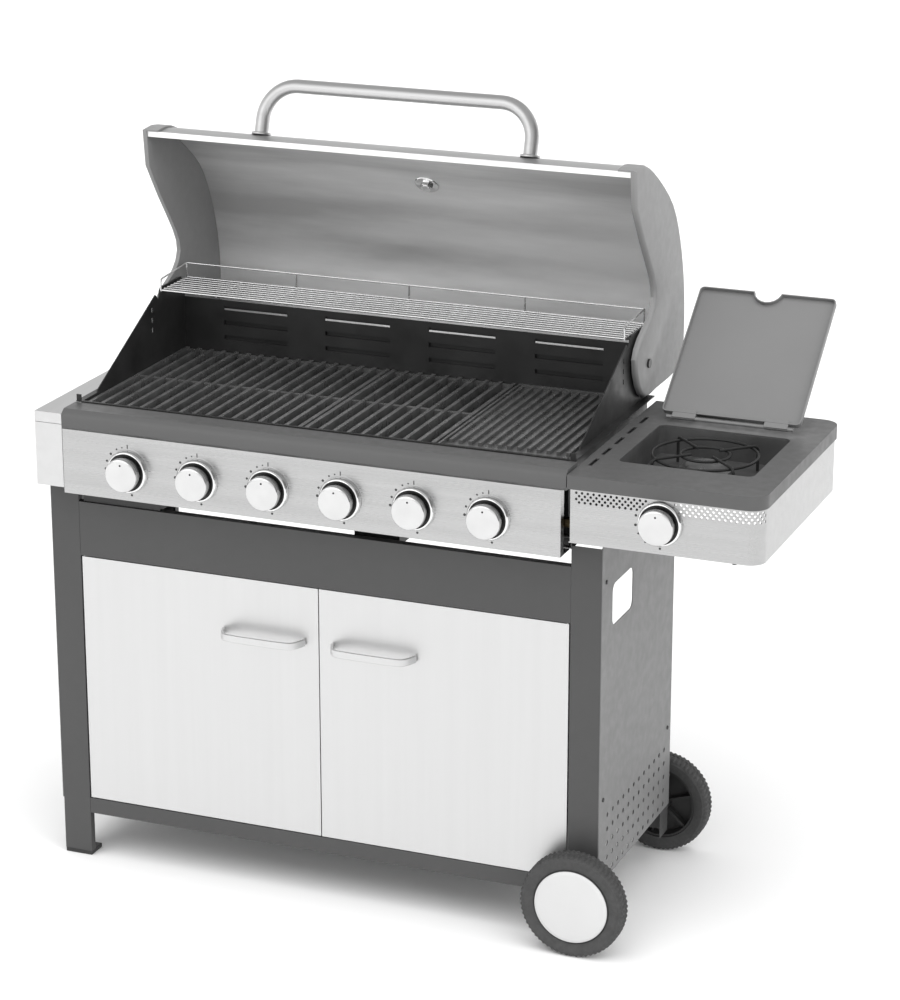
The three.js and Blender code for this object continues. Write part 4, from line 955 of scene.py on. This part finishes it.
def make_pot_support():
    """Two wire rings, carried by arms that bend down to the bowl's floor."""
    low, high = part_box("pot_support")
    base = middle_of("pot_support")
    base.z = 0
    top = high.z - SUPPORT_WIRE - MM
    floor = low.z + SUPPORT_WIRE
    ring_height = top - SUPPORT_RING_DROP
    work = bmesh.new()
    for radius in SUPPORT_RINGS:
        ring = [
            base + (RIGHT * math.cos(turn) + BACK * math.sin(turn)) * radius + UP * ring_height
            for turn in full_turn(64)
        ]
        add_tube(work, ring, SUPPORT_WIRE, sides=12, closed=True)
    for arm_turn in full_turn(SUPPORT_ARMS):
        turn = arm_turn + math.pi / SUPPORT_ARMS
        out = Vector((math.cos(turn), math.sin(turn), 0))
        corner = base + out * (SUPPORT_REACH - SUPPORT_BEND) + UP * (top - SUPPORT_BEND)
        path = [base + out * SUPPORT_START + UP * top]
        path += arc(corner, UP * SUPPORT_BEND, out * SUPPORT_BEND, steps=6)
        path += [base + out * SUPPORT_REACH + UP * floor]
        add_tube(work, path, SUPPORT_WIRE, sides=12)
    add_piece(
        "pot_support_wires", mesh_of(work, "support"), ENAMEL, "cart", ["pot_support"]
    )


# ---------- pierced sheets ----------

HOLE_DEPTH = 6 * MM
HOLE_START = 2 * MM                # the cutters start this far in front of the sheet
SKIRT_HOLE = 2.3 * MM
SKIRT_PITCH = 9.6 * MM
SKIRT_ROWS = 4
SKIRT_ROW_DROP = 5.2 * MM
SKIRT_CORNER = 27.5 * MM           # radius of the skirt's front corner
SKIRT_FIRST_HOLE = 12 * MM
SKIRT_LAST_HOLE = 8 * MM           # past the skirt's end, because the band goes round the corner
SKIRT_TOP_ROW = 5 * MM
KNOB_CLEARANCE = 40 * MM
PANEL_HOLE = 4.4 * MM
PANEL_HOLE_PITCH = 27 * MM
PANEL_ROWS = 5
PANEL_ROW_RISE = 25.5 * MM
PANEL_FRONT_MARGIN = 42 * MM
PANEL_BACK_MARGIN = 20 * MM
PANEL_FIRST_ROW = 12 * MM
PANEL_SCREW_INSET = 18 * MM
PANEL_LOW_SCREW = 150 * MM         # above the panel's lower edge
PANEL_HIGH_SCREW = 75 * MM         # below the panel's upper edge
# A black strip under the shelf's vent slots: painted shade.
SLOT_SHADE_SIZE = (304 * MM, 15 * MM, 1 * MM)
SLOT_SHADE_X = 16.5 * MM
SLOT_SHADE_FRONT = 52 * MM
SLOT_SHADE_DROP = 5 * MM
SHELF_SCREW_GAP = 90 * MM          # from the side knob to the screw under the shelf
SHELF_SCREW_INSET = 17 * MM


def pierced(node, cutter_work, material):
    """The node's shape with small holes cut through it."""
    shape = bpy.data.objects.new(f"{node}_shape", mesh_of(welded_copy(node), node))
    cutter = bpy.data.objects.new(f"{node}_cutter", mesh_of(cutter_work, "cutter"))
    for piece in (shape, cutter):
        bpy.context.scene.collection.objects.link(piece)
    cut = shape.modifiers.new("cut", "BOOLEAN")
    cut.operation = "DIFFERENCE"
    cut.solver = "EXACT"
    cut.object = cutter
    evaluated = shape.evaluated_get(bpy.context.evaluated_depsgraph_get())
    mesh = bpy.data.meshes.new_from_object(evaluated)
    for piece in (shape, cutter):
        bpy.data.objects.remove(piece)
    add_piece(
        f"{node}_pierced", mesh, material, body_of_node[node], [node], sharp=30
    )


def hole_places(first, last, pitch, rows, spacing, stagger=0):
    """(along, across) places of a pattern of holes; every second row is moved along by stagger."""
    places = []
    for row in range(rows):
        start = first + stagger * (row % 2)
        count = int((last - start) / pitch) + 1
        places += [(start + pitch * index, spacing * row) for index in range(count)]
    return places


def make_skirt():
    """The side shelf's steel skirt, with the band of small holes along its top and round its corner."""
    low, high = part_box("side_shelf_skirt")
    sheet = low.y + SHEET_BEHIND_COLLAR
    knob = middle_of("side_knob")
    corner = Vector((high.x - SKIRT_CORNER, sheet + SKIRT_CORNER, 0))
    places = hole_places(
        low.x + SKIRT_FIRST_HOLE, high.x + SKIRT_LAST_HOLE, SKIRT_PITCH, SKIRT_ROWS, SKIRT_ROW_DROP,
        stagger=SKIRT_PITCH / 2,
    )
    work = bmesh.new()
    for x, down in places:
        z = high.z - SKIRT_TOP_ROW - down
        if math.hypot(x - knob.x, z - knob.z) < KNOB_CLEARANCE:
            continue
        turn = max(0, (x - corner.x) / SKIRT_CORNER)
        out = Vector((math.sin(turn), -math.cos(turn), 0))
        start = corner + out * (SKIRT_CORNER + HOLE_START) + UP * z
        start.x += min(0, x - corner.x)
        add_lathe(work, disc(SKIRT_HOLE, 0, HOLE_DEPTH), start, -out, steps=8)
    pierced("side_shelf_skirt", work, PANEL_STEEL)


def make_shelf_slot_shade_and_screw():
    """A dark strip under the vent slots of the shelf, as painted shade seen through them, and the screw head under
    its front edge.
    """
    low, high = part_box("side_shelf_top")
    skirt_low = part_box("side_shelf_skirt")[0]
    screw_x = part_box("side_knob")[1].x + SHELF_SCREW_GAP
    work = bmesh.new()
    # The strip under the slots is painted shade.
    middle_y = low.y + SLOT_SHADE_FRONT + SLOT_SHADE_SIZE[0] / 2
    place = Vector((low.x + SLOT_SHADE_X, middle_y, high.z - SLOT_SHADE_DROP))
    add_bar(work, place, BACK, UP, SLOT_SHADE_SIZE)
    head = [
        (0, -0.5 * MM), (4.5 * MM, -0.5 * MM), (4.5 * MM, 3.5 * MM), (3.5 * MM, 4.5 * MM), (0, 4.5 * MM),
    ]
    screw = (screw_x, skirt_low.y + SHELF_SCREW_INSET, skirt_low.z)
    add_lathe(work, head, screw, -UP, steps=16)
    add_piece("side_shelf_slot_shade_and_screw", mesh_of(work, "trim"), BLACK_PLASTIC, "cart")


def make_right_panel():
    """The right side panel, with its band of vent holes near the bottom."""
    low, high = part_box("side_panel_right")
    places = hole_places(
        low.y + PANEL_FRONT_MARGIN, high.y - PANEL_BACK_MARGIN, PANEL_HOLE_PITCH, PANEL_ROWS,
        PANEL_ROW_RISE,
    )
    work = bmesh.new()
    for y, up in places:
        start = (high.x + HOLE_START, y, low.z + PANEL_FIRST_ROW + up)
        add_lathe(work, disc(PANEL_HOLE, 0, HOLE_DEPTH), start, -RIGHT, steps=14)
    pierced("side_panel_right", work, PANEL_PAINT_PAINTED_LIGHT)


def make_panel_screws():
    """Screw heads at the four corners of the right side panel."""
    low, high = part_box("side_panel_right")
    head = [(0, -0.8 * MM), (3 * MM, -0.6 * MM), (3.8 * MM, 0.6 * MM), (3.8 * MM, 2.2 * MM), (0, 2.2 * MM)]
    work = bmesh.new()
    for y in (low.y + PANEL_SCREW_INSET, high.y - PANEL_SCREW_INSET):
        for z in (low.z + PANEL_LOW_SCREW, high.z - PANEL_HIGH_SCREW):
            add_lathe(work, head, (high.x + 1.2 * MM, y, z), -RIGHT, steps=16)
    add_piece("side_panel_screws", mesh_of(work, "screws"), BLACK_PLASTIC, "cart")


# ---------- firebox ----------

LOUVRE_COLUMNS = 4
LOUVRE_PITCH = 197 * MM
LOUVRE_HALF = 64 * MM
LOUVRE_TOP = 908 * MM              # the highest row, above the floor
LOUVRE_DROP = 27 * MM
HOOD_REACH = 5 * MM
HOOD_LIPS = (2 * MM, -4 * MM, -2 * MM)     # each row's lower edge, above its louvre's place


def hood_outline(back, z, lip):
    """The section of a pressed hood, as (Y, Z) points."""
    outer = back + HOOD_REACH
    return [
        (back, z + 12 * MM), (outer, z + 9 * MM), (outer, z + lip), (outer - MM, z + lip),
        (outer - MM, z + 8.4 * MM), (back, z + 10.8 * MM),
    ]


def make_louvre_hoods():
    """The pressed hoods behind the slots of the firebox's rear wall."""
    middle = middle_of("firebox").x
    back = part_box("firebox")[1].y - 0.2 * MM
    work = bmesh.new()
    for column in range(LOUVRE_COLUMNS):
        x = middle + LOUVRE_PITCH * (column - (LOUVRE_COLUMNS - 1) / 2)
        for row, lip in enumerate(HOOD_LIPS):
            outline = hood_outline(back, LOUVRE_TOP - LOUVRE_DROP * row, lip)
            near = [work.verts.new((x - LOUVRE_HALF, *point)) for point in outline]
            far = [work.verts.new((x + LOUVRE_HALF, *point)) for point in outline]
            work.faces.new(near)
            work.faces.new(far)
            join_rings(work, near, far)
    add_piece("firebox_louvre_hoods", mesh_of(work, "hoods"), ENAMEL, "cart", sharp=20)


# ---------- studio ----------

CAMERA_AZIMUTH = math.radians(22)
CAMERA_ELEVATION = math.radians(18.3)
CAMERA_DISTANCE = 5.4
CAMERA_LENS = 114
AIM_RISE = -0.01
FLOOR_HALF = 20
FLOOR_DROP = 0.2 * MM
OVERHEAD_STOPS = [(0.3, 1), (0.62, 0.55)]     # (Z of the direction, level)
SCREEN_STOPS = [(0.62, 1), (0.82, 0.22)]      # (X of the direction, level)


def make_camera():
    middle = (cad_low + cad_high) / 2 + UP * AIM_RISE
    back = Vector((
        math.sin(CAMERA_AZIMUTH) * math.cos(CAMERA_ELEVATION),
        -math.cos(CAMERA_AZIMUTH) * math.cos(CAMERA_ELEVATION),
        math.sin(CAMERA_ELEVATION),
    ))
    data = bpy.data.cameras.new("camera")
    data.lens = CAMERA_LENS
    camera = bpy.data.objects.new("camera", data)
    camera.location = middle + back * CAMERA_DISTANCE
    camera.rotation_mode = "QUATERNION"
    camera.rotation_quaternion = (-back).to_track_quat("-Z", "Y")
    bpy.context.scene.collection.objects.link(camera)
    bpy.context.scene.camera = camera


def add_sun(name, source, strength, spread, mirrored):
    """A soft light from the direction of source. It shows in reflections if mirrored."""
    data = bpy.data.lights.new(name, "SUN")
    data.energy = strength
    data.angle = math.radians(spread)
    light = bpy.data.objects.new(name, data)
    light.rotation_mode = "QUATERNION"
    light.rotation_quaternion = (-Vector(source)).to_track_quat("-Z", "Y")
    light.visible_glossy = mirrored
    bpy.context.scene.collection.objects.link(light)


def make_lights():
    add_sun("overhead", (0.1, -0.35, 1), strength=2.5, spread=70, mirrored=False)
    add_sun("right", (1, -0.25, 0.35), strength=1.5, spread=50, mirrored=False)
    add_sun("front", (-0.5, -1, 0.5), strength=0.45, spread=50, mirrored=True)


def world_ramp(tree, value, stops):
    node = tree.nodes.new("ShaderNodeValToRGB")
    for element, (position, level) in zip(node.color_ramp.elements, stops):
        element.position = position
        element.color = (*grey(level), 1)
    tree.links.new(value, node.inputs["Fac"])
    return node.outputs["Color"]


def make_world():
    """A white studio, darker overhead and with a dark screen on the right that shapes the chrome."""
    world = bpy.data.worlds.new("studio")
    world.use_nodes = True
    tree = world.node_tree
    place = tree.nodes.new("ShaderNodeTexCoord")
    parts = tree.nodes.new("ShaderNodeSeparateXYZ")
    tree.links.new(place.outputs["Generated"], parts.inputs["Vector"])
    darker = tree.nodes.new("ShaderNodeMix")
    darker.data_type = "RGBA"
    darker.blend_type = "DARKEN"
    darker.inputs["Factor"].default_value = 1
    overhead = world_ramp(tree, parts.outputs["Z"], OVERHEAD_STOPS)
    screen = world_ramp(tree, parts.outputs["X"], SCREEN_STOPS)
    tree.links.new(overhead, darker.inputs["A"])
    tree.links.new(screen, darker.inputs["B"])
    tree.links.new(darker.outputs["Result"], tree.nodes["Background"].inputs["Color"])
    tree.nodes["Background"].inputs["Strength"].default_value = 1.0
    bpy.context.scene.world = world


def make_floor():
    work = bmesh.new()
    bmesh.ops.create_grid(work, x_segments=2, y_segments=2, size=FLOOR_HALF)
    mesh = mesh_of(work, "floor")
    mesh.materials.append(FLOOR)
    floor = bpy.data.objects.new("floor", mesh)
    floor.location.z = -FLOOR_DROP
    bpy.context.scene.collection.objects.link(floor)


paint_nodes()
soften_nodes()
make_knobs()
make_tyre("front")
make_tyre("rear")
make_hub("front", FRONT)
make_hub("rear", BACK)
make_lid_handle()
make_lid_ends()
make_gauge()
make_warming_rack()
make_pot_support()
make_skirt()
make_shelf_slot_shade_and_screw()
make_right_panel()
make_panel_screws()
make_louvre_hoods()
make_floor()
make_world()
make_lights()
make_camera()
bpy.context.scene.view_settings.view_transform = "Standard"
